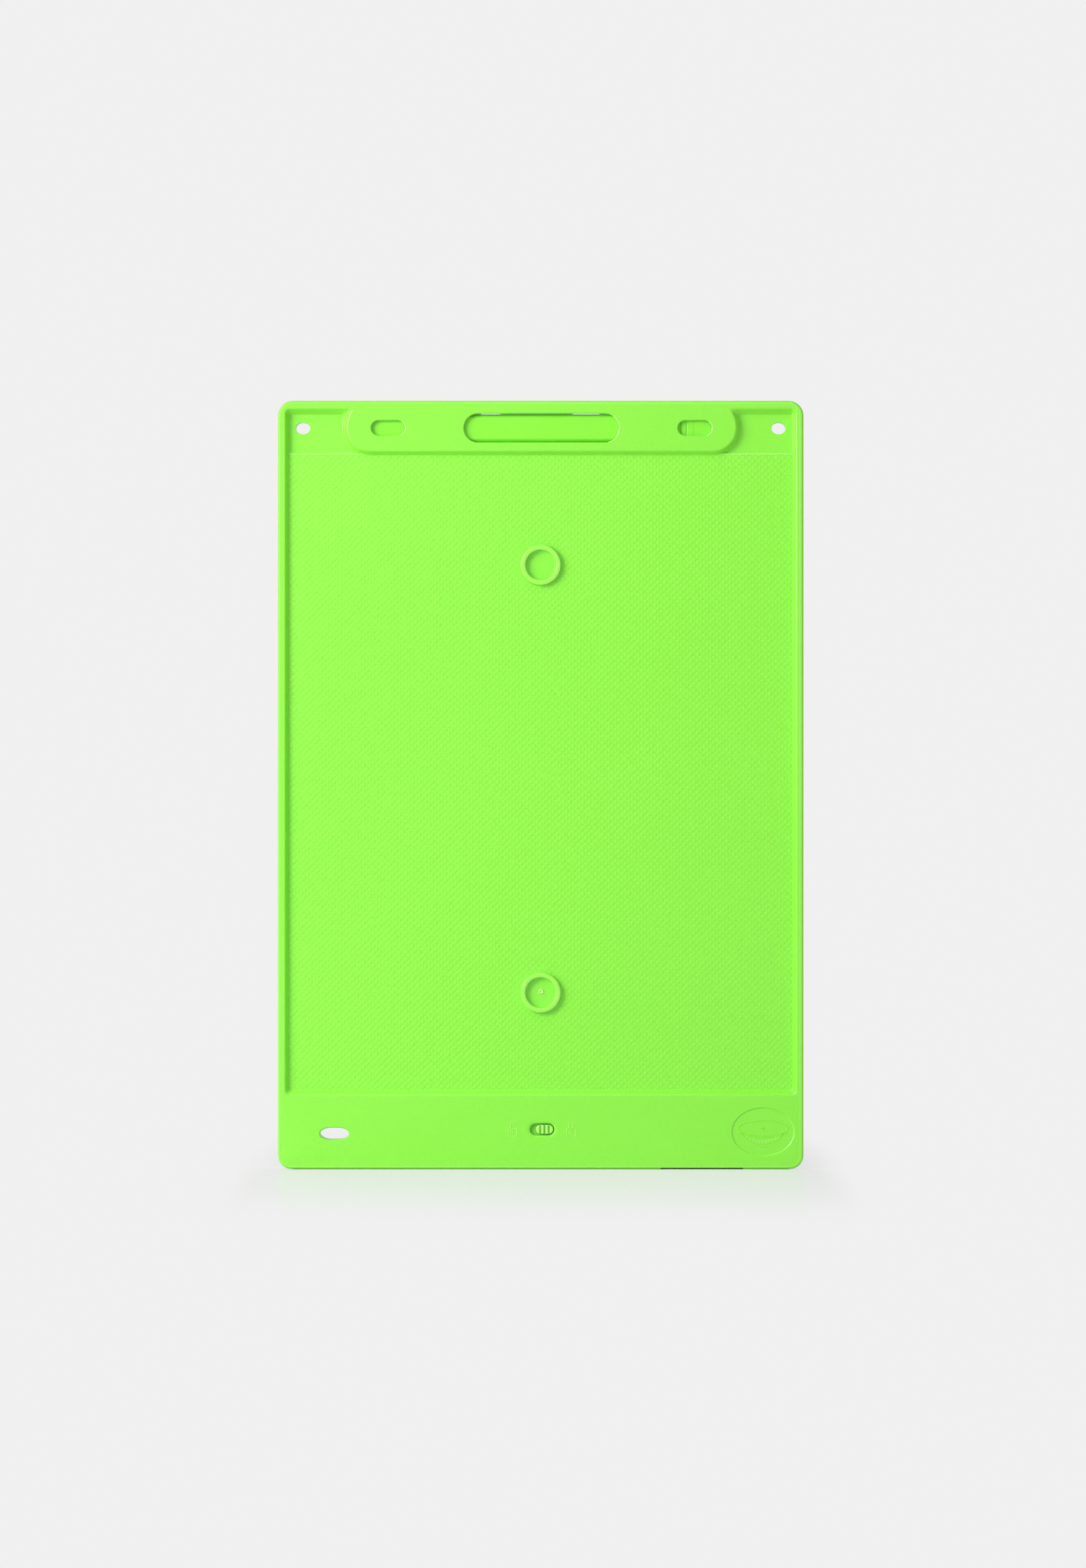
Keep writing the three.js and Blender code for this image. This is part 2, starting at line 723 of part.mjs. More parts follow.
// Everything that goes through the back wall: windows, hanging holes, lanyard hole, lock slot.
function coverOpenings() {
  const inner = bezelInnerY + overcut;
  const openings = [];
  openings.push(edgedCut((edge) => ovalSlot(tabCenterX, windowZ, centralWindowLength + 2 * edge,
    centralWindowHeight + 2 * edge), backY, cavityY + rootSink, windowEdgeBreak));
  [-1, 1].forEach((side) => {
    const windowX = tabCenterX + side * smallWindowOffset;
    openings.push(edgedCut((edge) => ovalSlot(windowX, windowZ, smallWindowLength + 2 * edge,
      smallWindowHeight + 2 * edge), backY, cavityY + rootSink, windowEdgeBreak));
    const hole = ellipse(side * hangHoleX, hangHoleZ, hangHoleWidth, hangHoleHeight);
    openings.push(plate(hole, panelY - overcut, inner));
  });
  openings.push(edgedCut((edge) => ovalSlot(lanyardX, lanyardZ, lanyardLength + 2 * edge,
    lanyardHeight + 2 * edge, lanyardEndLength + edge), backY, inner, windowEdgeBreak));
  const lockSlot = ovalSlot(lockX, lockZ, lockSlotLength, lockSlotHeight);
  openings.push(plate(lockSlot, backY - overcut, cavityY + rootSink));
  openings.push(lockDish());
  return openings.reduce((all, next) => all.add(next));
}

// The soft dish round the lock slot.
function lockDish() {
  const sections = [];
  for (let i = 0; i <= filletSteps; i += 1) {
    const angle = (i / filletSteps) * (Math.PI / 2);
    const margin = lockDishMargin * (1 - Math.sin(angle)) * 2;
    const points = ovalSlot(lockX, lockZ, lockSlotLength + margin, lockSlotHeight + margin);
    sections.push({ points, y: backY + lockDishDepth * (1 - Math.cos(angle)) });
  }
  const above = { points: sections[0].points, y: backY - overcut };
  return loft([above, ...sections]);
}

// The shallow oval recess that frames the battery sign.
function signRecess() {
  const edge = ellipse(signX, signZ, signLength, signHeight);
  const floor = ellipse(signX, signZ, signLength - 2 * signSlope, signHeight - 2 * signSlope);
  return loft([
    { points: edge, y: backY - overcut },
    { points: edge, y: backY },
    { points: floor, y: backY + signDepth },
  ]);
}

// The front moulding: face, display window, lip with snap hooks, and the open stylus slot.
function frontBezel() {
  let bezel = shellForm(frontY, partingY);
  bezel = bezel.subtract(plate(caseOutline(sideWall), partingY - overcut, bezelInnerY));
  const lipOuter = plate(caseOutline(lipInset), lipEndY, bezelInnerY + rootSink);
  const lipInner = plate(caseOutline(lipInset + lipThickness), lipEndY - overcut, bezelInnerY);
  bezel = bezel.add(lipOuter.subtract(lipInner));
  hookPlaces().forEach((place) => {
    const root = lipInset + hookRoot;
    const tip = sideWall - hookReach;
    const high = lipEndY + hookHeight;
    const section = [[root, high], [tip, high], [tip, lipEndY + hookRampHeight], [lipInset, lipEndY],
      [root, lipEndY]];
    bezel = bezel.add(edgeBar(place, section, hookLength));
  });
  bezel = bezel.subtract(displayOpening());
  bezel = bezel.subtract(stylusSlot());
  const hole = ovalSlot(buttonX, buttonZ, buttonLength + 2 * buttonGap, buttonWidth + 2 * buttonGap);
  bezel = bezel.subtract(plate(hole, bezelInnerY - overcut, frontY + overcut));
  [-1, 1].forEach((side) => {
    const outline = ellipse(side * hangHoleX, hangHoleZ, hangHoleWidth, hangHoleHeight);
    bezel = bezel.subtract(plate(outline, bezelInnerY - overcut, frontY + overcut));
  });
  const lanyard = ovalSlot(lanyardX, lanyardZ, lanyardLength, lanyardHeight, lanyardEndLength);
  bezel = bezel.subtract(plate(lanyard, bezelInnerY - overcut, frontY + overcut));
  const left = trayLeftX - bayRib - trayGap;
  const right = trayRightX + bayRib + trayGap;
  const near = lipEndY - overcut;
  const high = grooveInset + overcut;
  const trayWay = block(left, near, -overcut, right, partingY, high);
  const ribWay = block(left, near, sideWall + lipGap / 2, right, bezelInnerY, high);
  return bezel.subtract(trayWay).subtract(ribWay);
}

// The window over the writing film, with its edge chamfered towards the front.
function displayOpening() {
  const outlineAt = (grow) => {
    const half = windowHalf + grow;
    return roundedRectangle(-half, windowBase - grow, half, windowTop + grow, windowCornerRadius + grow);
  };
  return loft([
    { points: outlineAt(0), y: bezelInnerY - overcut },
    { points: outlineAt(0), y: bezelInnerY + windowLand },
    { points: outlineAt(windowFrameChamfer), y: frontY },
    { points: outlineAt(windowFrameChamfer), y: frontY + overcut },
  ]);
}

// The slot that the stylus lifts out of, with two reliefs in its upper edge.
function stylusSlot() {
  const half = stylusLength / 2 + stylusEndGap;
  const low = stylusBottomZ - stylusSlotGap;
  const high = stylusTopZ + stylusSlotGap;
  const nearY = bezelInnerY - overcut;
  const farY = frontY + overcut;
  const radius = (high - low) / 2 - endFlat;
  let slot = plate(roundedRectangle(tabCenterX - half, low, tabCenterX + half, high, radius), nearY, farY);
  const reliefs = [[leftReliefCenterX, leftReliefLength], [rightReliefCenterX, rightReliefLength]];
  reliefs.forEach(([x, length]) => {
    slot = slot.add(block(x - length / 2, nearY, high - overcut, x + length / 2, farY, high + reliefHeight));
  });
  return slot;
}

// The knob and guide plate of the lock, in one moulding.
function lockSlider() {
  const plateFrontY = cavityY + lockPlateGap + lockPlateThickness;
  const plateLeft = lockX - lockSlotLength / 2 - lockPlateMargin;
  const plateRight = lockX + lockSlotLength / 2 + lockPlateMargin + lockTravel;
  const plateBackY = cavityY + lockPlateGap;
  let slider = block(plateLeft, plateBackY, lockPlateBottomZ, plateRight, plateFrontY, lockPlateTopZ);
  const outlineAt = (inset) => (
    ovalSlot(lockKnobX, lockZ, lockKnobLength - 2 * inset, lockKnobHeight - 2 * inset)
  );
  const knob = loft([
    { points: outlineAt(lockCrownInset), y: backY },
    { points: outlineAt(lockShoulderInset), y: backY + lockShoulderDrop },
    { points: outlineAt(0), y: backY + lockGrooveDepth },
    { points: outlineAt(0), y: plateBackY + rootSink },
  ]);
  slider = slider.add(knob);
  for (let i = -1; i <= 1; i += 1) {
    const x = lockKnobX + i * lockGroovePitch;
    const reach = lockGrooveWidth / 2;
    slider = slider.subtract(block(x - reach, backY - overcut, lockZ - lockKnobHeight,
      x + reach, backY + lockGrooveDepth, lockZ + lockKnobHeight));
  }
  const notch = leverWidth / 2 + leverGap;
  return slider.subtract(block(lockKnobX - notch, cavityY - overcut, leverTipZ() - leverGap,
    lockKnobX + notch, plateFrontY + overcut, lockPlateTopZ + overcut));
}

// The lowest point of the slide switch's lever.
function leverTipZ() {
  return switchBottomZ - leverReach;
}

// The depth that the lever's middle lies at, level with the slider's plate.
function leverMidY() {
  return cavityY + lockPlateGap + lockPlateThickness / 2;
}

// The slide switch's housing, open below for its lever.
function slideSwitchBody() {
  const half = slideSwitchLength / 2;
  const body = block(lockX - half, circuitBackY - slideSwitchHeight, switchBottomZ,
    lockX + half, circuitBackY, switchBottomZ + slideSwitchWidth);
  const reach = leverWidth / 2 + lockTravel / 2 + leverGap;
  const deep = leverThickness / 2 + leverGap;
  return body.subtract(block(lockX - reach, leverMidY() - deep, switchBottomZ - overcut,
    lockX + reach, leverMidY() + deep, switchBottomZ + leverRoot + leverGap));
}

// The slide switch's lever.
function slideSwitchLever() {
  const half = leverWidth / 2;
  const deep = leverThickness / 2;
  return block(lockKnobX - half, leverMidY() - deep, leverTipZ(),
    lockKnobX + half, leverMidY() + deep, switchBottomZ + leverRoot);
}

// The erase button: a crowned oval cap with a flange behind the front's face.
function eraseButton() {
  const capY = frontY + buttonProud;
  const sections = [];
  for (let i = 0; i <= filletSteps; i += 1) {
    const angle = (1 - i / filletSteps) * (Math.PI / 2);
    const drawn = 2 * buttonRounding * (1 - Math.sin(angle));
    const points = ovalSlot(buttonX, buttonZ, buttonLength - drawn, buttonWidth - drawn);
    sections.push({ points, y: capY - buttonRounding * (1 - Math.cos(angle)) });
  }
  const full = ovalSlot(buttonX, buttonZ, buttonLength, buttonWidth);
  const cap = loft([{ points: full, y: plungerTopY }, ...sections]);
  const flange = ovalSlot(buttonX, buttonZ, buttonLength + 2 * buttonFlange, buttonWidth + 2 * buttonFlange);
  return cap.add(plate(flange, plungerTopY, plungerTopY + buttonFlangeThickness));
}

// The tact switch's housing, with the bore that its plunger moves in.
function tactSwitchBody() {
  const half = tactSize / 2;
  const topY = circuitFrontY + tactHeight;
  const body = block(buttonX - half, circuitFrontY, buttonZ - half, buttonX + half, topY, buttonZ + half);
  const radius = plungerDiameter / 2 + plungerGap;
  return body.subtract(turned(buttonX, buttonZ, [
    [0, circuitFrontY + tactFloor],
    [radius, circuitFrontY + tactFloor],
    [radius, topY + overcut],
    [0, topY + overcut],
  ], smallTurnSteps));
}

// The tact switch's plunger, under the erase button.
function tactPlunger() {
  const radius = plungerDiameter / 2;
  return turned(buttonX, buttonZ, [
    [0, plungerBaseY],
    [radius, plungerBaseY],
    [radius, plungerBaseY + plungerShoulder],
    [plungerTopDiameter / 2, plungerTopY],
    [0, plungerTopY],
  ], smallTurnSteps);
}

// The circuit board, with the holes that the posts pass through.
function circuitBoard() {
  let board = block(circuitLeft, circuitBackY, circuitBase, circuitRight, circuitFrontY,
    circuitBase + circuitHeight);
  const radius = postDiameter / 2 + postHoleGap;
  postX.forEach((x) => {
    const hole = ellipse(x, postZ, 2 * radius, 2 * radius);
    board = board.subtract(plate(hole, circuitBackY - overcut, circuitFrontY + overcut));
  });
  return board;
}

// A part soldered to the back of the circuit board, by its middle, length, width and height.
function boardPart(x, z, length, width, height) {
  return block(x - length / 2, circuitBackY - height, z - width / 2,
    x + length / 2, circuitBackY, z + width / 2);
}

// The wound coil that lifts the cell's voltage: a drum with a waist.
function boostInductor() {
  const radius = inductorDiameter / 2;
  const waist = inductorWaistDiameter / 2;
  const topY = circuitBackY - inductorHeight;
  return turned(inductorX, inductorZ, [
    [0, topY],
    [radius, topY],
    [radius, topY + inductorFlange],
    [waist, topY + inductorFlange],
    [waist, circuitBackY - inductorFlange],
    [radius, circuitBackY - inductorFlange],
    [radius, circuitBackY],
    [0, circuitBackY],
  ], smallTurnSteps);
}

// The flat ribbon from the film's lower edge to the circuit board.
function lcdFlex() {
  const top = filmBase + flexOverlap;
  const circuitTop = circuitBase + circuitHeight;
  const low = circuitTop - flexOverlap;
  const middle = (filmBase + circuitTop) / 2;
  const bend = (filmBase - circuitTop) / 4;
  const path = [
    [filmBackY, top],
    [filmBackY, middle + bend],
    [circuitFrontY + flexThickness, middle - bend],
    [circuitFrontY + flexThickness, low],
    [circuitFrontY, low],
    [circuitFrontY, middle - bend],
    [filmBackY - flexThickness, middle + bend],
    [filmBackY - flexThickness, top],
  ];
  const shape = new THREE.Shape(path.map(([y, z]) => new THREE.Vector2(y, z)));
  const geometry = new THREE.ExtrudeGeometry(shape, { depth: flexWidth, bevelEnabled: false, steps: 1 });
  const across = new THREE.Matrix4().set(0, 0, 1, flexX - flexWidth / 2, 1, 0, 0, 0, 0, 1, 0, 0, 0, 0, 0, 1);
  return solid(geometry.applyMatrix4(across));
}

// The coin cell, a turned can with the smaller cap towards the back.
function coinCell() {
  const radius = cellDiameter / 2;
  const cap = cellCapDiameter / 2;
  const rimY = cellBackY + cellCapRise;
  return turned(trayCenterX, cellZ, [
    [0, cellBackY],
    [cap - cellRounding, cellBackY],
    [cap, rimY],
    [radius - cellRounding, rimY],
    [radius, rimY + cellRounding],
    [radius, cellFrontY - cellRounding],
    [radius - cellRounding, cellFrontY],
    [0, cellFrontY],
  ]);
}

// The tray that carries the coin cell: a lip that closes the mouth and two arms round the cell.
function batteryTray() {
  const left = trayLeftX + trayGap;
  const right = trayRightX - trayGap;
  const bodyBackY = trayFrontY - trayBodyThickness;
  const lip = block(left, trayLipBackY, trayFaceZ, right, trayFrontY, trayFaceZ + trayLipHeight);
  const cradleTop = trayFaceZ + trayLipHeight + trayArmLength;
  const cradleOutline = roundedRectangle(left, trayFaceZ + rootSink, right, cradleTop, trayRootRadius,
    trayCornerRadius);
  const cradle = plate(cradleOutline, bodyBackY, trayFrontY);
  const nest = cellDiameter + 2 * trayCellGap;
  const ledge = cellDiameter - 2 * trayLedge;
  const nearY = bodyBackY - overcut;
  const farY = trayFrontY + overcut;
  const hole = plate(ellipse(trayCenterX, cellZ, nest, nest), nearY, cellFrontY);
  const through = plate(ellipse(trayCenterX, cellZ, ledge, ledge), nearY, farY);
  const gap = block(trayCenterX - trayOpening / 2, nearY, cellZ,
    trayCenterX + trayOpening / 2, farY, cradleTop + overcut);
  const nail = block(trayCenterX - trayNailWidth / 2, trayLipBackY - overcut, trayFaceZ - overcut,
    trayCenterX + trayNailWidth / 2, trayLipBackY + trayNailDepth, trayFaceZ + trayNailDepth);
  return lip.add(cradle).subtract(hole).subtract(through).subtract(gap).subtract(nail);
}

// A spring leaf from the circuit board to the coin cell. Side is -1 at the back and 1 in front.
function batteryContact(side) {
  const padY = side < 0 ? circuitBackY : circuitFrontY;
  const runY = side < 0 ? cavityY + contactGap : bezelInnerY - contactGap;
  const tipY = side < 0 ? cellBackY - contactGap : cellFrontY + contactGap;
  const start = circuitRight - contactPad;
  const bendX = circuitRight + contactThickness;
  const rampX = circuitRight + contactReach - contactRamp - contactTip;
  const tipX = circuitRight + contactReach - contactTip;
  const endX = circuitRight + contactReach;
  const t = contactThickness;
  const outline = [
    [start, padY],
    [bendX, padY],
    [bendX, runY - side * t],
    [rampX, runY - side * t],
    [tipX, tipY],
    [endX, tipY],
    [endX, tipY + side * t],
    [tipX, tipY + side * t],
    [rampX, runY],
    [bendX - t, runY],
    [bendX - t, padY + side * t],
    [start, padY + side * t],
  ];
  const shape = new THREE.Shape(outline.map(([x, y]) => new THREE.Vector2(x, y)));
  const geometry = new THREE.ExtrudeGeometry(shape, { depth: contactWidth, bevelEnabled: false, steps: 1 });
  geometry.translate(0, 0, contactZ - contactWidth / 2);
  return solid(geometry);
}

// The stylus's outline across its length: a flat oval of a given width and thickness.
function stylusSection(x, width, thickness) {
  const radius = Math.min(stylusEdgeRadius, thickness / 2 - endFlat, width / 2 - endFlat);
  const half = width / 2;
  const low = stylusMidY - thickness / 2;
  const high = stylusMidY + thickness / 2;
  return { x, points: roundedRectangle(-half, low, half, high, radius, radius, stylusSteps) };
}

// A body through flat ovals set along the stylus.
function stylusLoft(sections) {
  const body = loft(sections.map(({ x, points }) => ({ points, y: x })));
  const place = new THREE.Matrix4().set(0, 1, 0, 0, 0, 0, 1, 0, 1, 0, 0, stylusMidZ, 0, 0, 0, 1);
  return solid(geometryOf(body).applyMatrix4(place));
}

// The stylus's barrel, round at its tail and grooved for the fingers near the nose.
function stylusBarrel() {
  const end = stylusEndX - stylusNibLength - stylusNoseLength - stylusJointGap;
  const tail = stylusWidth / 2;
  const sections = [];
  const steps = 2 * cornerSteps;
  for (let i = 1; i <= steps; i += 1) {
    const angle = (i / steps) * (Math.PI / 2);
    const width = stylusWidth * Math.sin(angle);
    const thickness = stylusThickness * (1 - stylusTailThinning * (1 - Math.sin(angle)));
    sections.push(stylusSection(stylusStartX + tail * (1 - Math.cos(angle)), width, thickness));
  }
  const half = stylusGrooveWidth / 2;
  for (let i = stylusGrooveCount; i >= 1; i -= 1) {
    const x = end - i * stylusGroovePitch;
    sections.push(stylusSection(x - half, stylusWidth, stylusThickness));
    sections.push(stylusSection(x, stylusWidth - stylusGrooveDepth, stylusThickness - 2 * stylusGrooveDepth));
    sections.push(stylusSection(x + half, stylusWidth, stylusThickness));
  }
  sections.push(stylusSection(end, stylusWidth, stylusThickness));
  return stylusLoft(sections);
}

// The stylus's nose, which narrows to the nib.
function stylusNose() {
  const start = stylusEndX - stylusNibLength - stylusNoseLength;
  const end = stylusEndX - stylusNibLength;
  const sections = [];
  for (let i = 0; i <= cornerSteps; i += 1) {
    const t = i / cornerSteps;
    const ease = t ** stylusNoseCurve;
    const width = stylusWidth + (stylusNoseEndWidth - stylusWidth) * ease;
    const thickness = stylusThickness + (stylusNoseEndThickness - stylusThickness) * ease;
    sections.push(stylusSection(start + (end - start) * t, width, thickness));
  }
  return stylusLoft(sections);
}

// The nib, a short cone with a round point.
function stylusNib() {
  const start = stylusEndX - stylusNibLength + stylusJointGap;
  const tip = stylusNibTipRadius;
  const profile = [[0, start], [stylusNibRadius, start], [stylusNibRadius, start + stylusNibCollar]];
  for (let i = 0; i <= filletSteps; i += 1) {
    const angle = (i / filletSteps) * (Math.PI / 2);
    profile.push([tip * Math.cos(angle), stylusEndX - tip + tip * Math.sin(angle)]);
  }
  profile[profile.length - 1][0] = 0;
  const points = profile.map(([radius, along]) => new THREE.Vector2(radius, along));
  const geometry = new THREE.LatheGeometry(points, smallTurnSteps);
  const place = new THREE.Matrix4().set(0, 1, 0, 0, 0, 0, 1, stylusMidY, 1, 0, 0, stylusMidZ, 0, 0, 0, 1);
  return solid(geometry.applyMatrix4(place));
}

const tablet = new THREE.Group();

// Adds one named piece to the tablet.
function add(name, body, finish) {
  const mesh = new THREE.Mesh(geometryOf(body), new THREE.MeshStandardMaterial(finish));
  mesh.name = name;
  tablet.add(mesh);
}

add("back_cover", backCover(), green);
add("front_bezel", frontBezel(), green);
add("lock_slider", lockSlider(), green);
add("erase_button", eraseButton(), green);
add("stylus_barrel", stylusBarrel(), green);
add("stylus_nose", stylusNose(), green);
add("stylus_nib", stylusNib(), blackPlastic);

add("lcd_film", block(-filmHalf, filmBackY, filmBase, filmHalf, filmFrontY, filmTop), darkFilm);
add("backing_board", block(-filmHalf, boardBackY, boardBase, filmHalf, filmBackY, filmTop), boardBlack);
add("lcd_flex", lcdFlex(), amber);
[-1, 1].forEach((side) => {
  const name = side < 0 ? "film_tape_left" : "film_tape_right";
  const near = side * (filmHalf - tapeWidth);
  const far = side * filmHalf;
  const strip = block(Math.min(near, far), floorY, boardBase, Math.max(near, far), boardBackY, filmTop);
  add(name, strip, tapeWhite);
});
const tapeReach = filmHalf - tapeWidth - tapeGap;
add("film_tape_bottom", block(-tapeReach, floorY, boardBase, tapeReach, boardBackY, boardBase + tapeWidth),
  tapeWhite);
add("film_tape_top", block(-tapeReach, floorY, filmTop - tapeWidth, tapeReach, boardBackY, filmTop),
  tapeWhite);

add("circuit_board", circuitBoard(), laminate);
add("slide_switch_body", slideSwitchBody(), steel);
add("slide_switch_lever", slideSwitchLever(), blackPlastic);
add("tact_switch_body", tactSwitchBody(), steel);
add("tact_switch_plunger", tactPlunger(), blackPlastic);
add("controller_chip", boardPart(chipX, chipZ, chipLength, chipWidth, chipHeight), blackPlastic);
add("boost_inductor", boostInductor(), ferrite);
add("rectifier_diode", boardPart(diodeX, diodeZ, diodeLength, diodeWidth, diodeHeight), blackPlastic);
add("storage_capacitor",
  boardPart(capacitorX, capacitorZ, capacitorLength, capacitorWidth, capacitorHeight), ceramicTan);
add("timing_resistor",
  boardPart(resistorX, resistorZ, resistorLength, resistorWidth, resistorHeight), blackPlastic);
add("battery_contact_negative", batteryContact(-1), nickel);
add("battery_contact_positive", batteryContact(1), nickel);
add("battery_tray", batteryTray(), green);
add("coin_cell", coinCell(), steel);

export default tablet;
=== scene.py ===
"""The looks of an LCD writing tablet: finishes, grip pattern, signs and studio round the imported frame."""

import logging
import math
from collections.abc import Sequence
from dataclasses import dataclass, field
from enum import Enum

import bmesh
import bpy
from mathutils import Matrix, Vector


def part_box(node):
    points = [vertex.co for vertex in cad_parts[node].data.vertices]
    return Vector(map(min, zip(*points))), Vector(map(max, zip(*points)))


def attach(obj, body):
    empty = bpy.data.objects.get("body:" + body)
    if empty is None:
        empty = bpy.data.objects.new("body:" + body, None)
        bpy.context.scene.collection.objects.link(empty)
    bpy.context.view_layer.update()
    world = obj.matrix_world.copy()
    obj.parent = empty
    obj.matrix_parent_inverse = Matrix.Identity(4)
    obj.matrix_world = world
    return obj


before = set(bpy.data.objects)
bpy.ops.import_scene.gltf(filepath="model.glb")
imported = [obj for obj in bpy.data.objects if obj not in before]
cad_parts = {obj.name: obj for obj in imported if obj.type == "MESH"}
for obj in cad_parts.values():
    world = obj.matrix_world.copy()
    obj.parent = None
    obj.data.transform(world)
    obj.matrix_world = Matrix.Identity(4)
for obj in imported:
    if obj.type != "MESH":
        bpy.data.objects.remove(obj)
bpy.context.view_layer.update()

LOG = logging.getLogger("writing_tablet")
MM = 0.001
QUARTER = math.radians(90)
Colour = tuple[float, float, float]
Place = tuple[float, float, float]
Point = tuple[float, float]
Inputs = dict[str | int, object]
Socket = bpy.types.NodeSocket
Marks = list[tuple[Socket, Colour]]


class Grain(Enum):
    """The fine relief that a finish shows."""

    SPARKED = "sparked"
    SATIN = "satin"
    BRUSHED = "brushed"
    TURNED = "turned"
    FIBROUS = "fibrous"


class NodeSheet:
    """Short calls for building one node tree."""

    def __init__(self, tree: bpy.types.NodeTree) -> None:
        """Start on a shader or geometry node tree."""
        self.tree = tree
        self.count = 0

    def feed(self, socket: Socket, value: object) -> None:
        """Link an output into an input, or set the input's plain value.

        Args:
            socket: The input socket.
            value: An output socket, or a plain value.
        """
        if isinstance(value, Socket):
            self.tree.links.new(value, socket)
        else:
            socket.default_value = value

    def node(self, kind: str, inputs: Inputs | None = None, **settings: object) -> bpy.types.Node:
        """Add a node.

        Args:
            kind: Blender's identifier of the node type.
            inputs: What goes into its inputs, by name or place.
            **settings: Properties to set on the node.

        Returns:
            The new node.
        """
        node = self.tree.nodes.new(kind)
        for name, value in settings.items():
            setattr(node, name, value)
        for name, value in (inputs or {}).items():
            self.feed(node.inputs[name], value)
        node.location = (190 * (self.count % 9), -240 * (self.count // 9))
        self.count += 1
        return node

    def out(self, kind: str, inputs: Inputs | None = None, **settings: object) -> Socket:
        """Add a node, as node does, and return its first output."""
        return self.node(kind, inputs, **settings).outputs[0]

    def maths(self, operation: str, *values: object, clamp: bool = False) -> Socket:
        """Return the result of a Math node, held between 0 and 1 if clamp is set."""
        return self.out("ShaderNodeMath", dict(enumerate(values)), operation=operation, use_clamp=clamp)

    def add(self, first: object, second: object) -> Socket:
        """Return a sum."""
        return self.maths("ADD", first, second)

    def less(self, first: object, second: object) -> Socket:
        """Return the first value less the second."""
        return self.maths("SUBTRACT", first, second)

    def times(self, first: object, second: object) -> Socket:
        """Return a product."""
        return self.maths("MULTIPLY", first, second)

    def size(self, value: Socket) -> Socket:
        """Return a value without its sign."""
        return self.maths("ABSOLUTE", value)

    def reach(self, across: Socket, up: Socket) -> Socket:
        """Return the length of a vector of two parts."""
        return self.maths("SQRT", self.add(self.times(across, across), self.times(up, up)))

    def split(self, vector: Socket) -> tuple[Socket, Socket, Socket]:
        """Return the X, Y and Z of a vector."""
        return tuple(self.node("ShaderNodeSeparateXYZ", {0: vector}).outputs)

    def point(self, x: object = 0.0, y: object = 0.0, z: object = 0.0) -> Socket:
        """Return the vector of three numbers."""
        return self.out("ShaderNodeCombineXYZ", {0: x, 1: y, 2: z})

    def noise(self, vector: Socket, scale: object, detail: float = 2.0) -> Socket:
        """Return the factor of a noise texture of so many cells to the metre."""
        return self.out("ShaderNodeTexNoise", {"Vector": vector, "Scale": scale, "Detail": detail})

    def spread(self, value: object, low: object, high: object, start: float = 0.0,
               end: float = 1.0) -> Socket:
        """Map a value softly from low and high to start and end, held at the ends."""
        ends = dict(enumerate((value, low, high, start, end)))
        return self.out("ShaderNodeMapRange", ends, interpolation_type="SMOOTHSTEP")

    def mix(self, factor: object, first: object, second: object) -> Socket:
        """Mix two colours by the share of the second."""
        colours = {"Factor": factor, "A": first, "B": second}
        return self.node("ShaderNodeMix", colours, data_type="RGBA").outputs["Result"]


def socket_kind(value: object) -> str:
    """Name the kind of socket that suits a value.

    Args:
        value: A number, a colour of 4 numbers, a vector of 3, a material, or None for geometry.

    Returns:
        The kind, without Blender's prefix.
    """
    if isinstance(value, tuple):
        return "Color" if len(value) == 4 else "Vector"
    return {float: "Float", int: "Int", type(None): "Geometry"}.get(type(value), "Material")


class GroupSheet(NodeSheet):
    """A node group in the making, with named inputs and outputs."""

    def __init__(self, name: str, inputs: dict[str, object], outputs: dict[str, str],
                 kind: str = "ShaderNodeTree") -> None:
        """Make the group.

        Args:
            name: The group's name.
            inputs: Each input's name and value.
            outputs: Each output's name and kind of socket.
            kind: Blender's identifier of the tree type.
        """
        super().__init__(bpy.data.node_groups.new(name, kind))
        self.keys: dict[str, str] = {}
        for label, value in inputs.items():
            sort = socket_kind(value)
            socket = self.tree.interface.new_socket(label, in_out="INPUT", socket_type="NodeSocket" + sort)
            if sort not in ("Geometry", "Material"):
                socket.default_value = value
            self.keys[label] = socket.identifier
        for label, sort in outputs.items():
            self.tree.interface.new_socket(label, in_out="OUTPUT", socket_type="NodeSocket" + sort)
        self.given = self.node("NodeGroupInput").outputs

    def close(self, outputs: Inputs) -> bpy.types.NodeTree:
        """Feed the group's outputs and return its tree."""
        self.node("NodeGroupOutput", outputs)
        return self.tree


def rgba(colour: Colour) -> tuple[float, float, float, float]:
    """Return a colour with full opacity."""
    return (*colour, 1.0)


def emptied(owner: bpy.types.ID) -> bpy.types.NodeTree:
    """Empty the node tree of a new material or world.

    Args:
        owner: The material or world.

    Returns:
        Its tree.
    """
    owner.use_nodes = True
    owner.node_tree.nodes.clear()
    return owner.node_tree


def placed(name: str, data: bpy.types.ID) -> bpy.types.Object:
    """Make a new object of the scene.

    Args:
        name: The object's name.
        data: Its mesh, lamp or camera.

    Returns:
        The object.
    """
    piece = bpy.data.objects.new(name, data)
    bpy.context.scene.collection.objects.link(piece)
    return piece


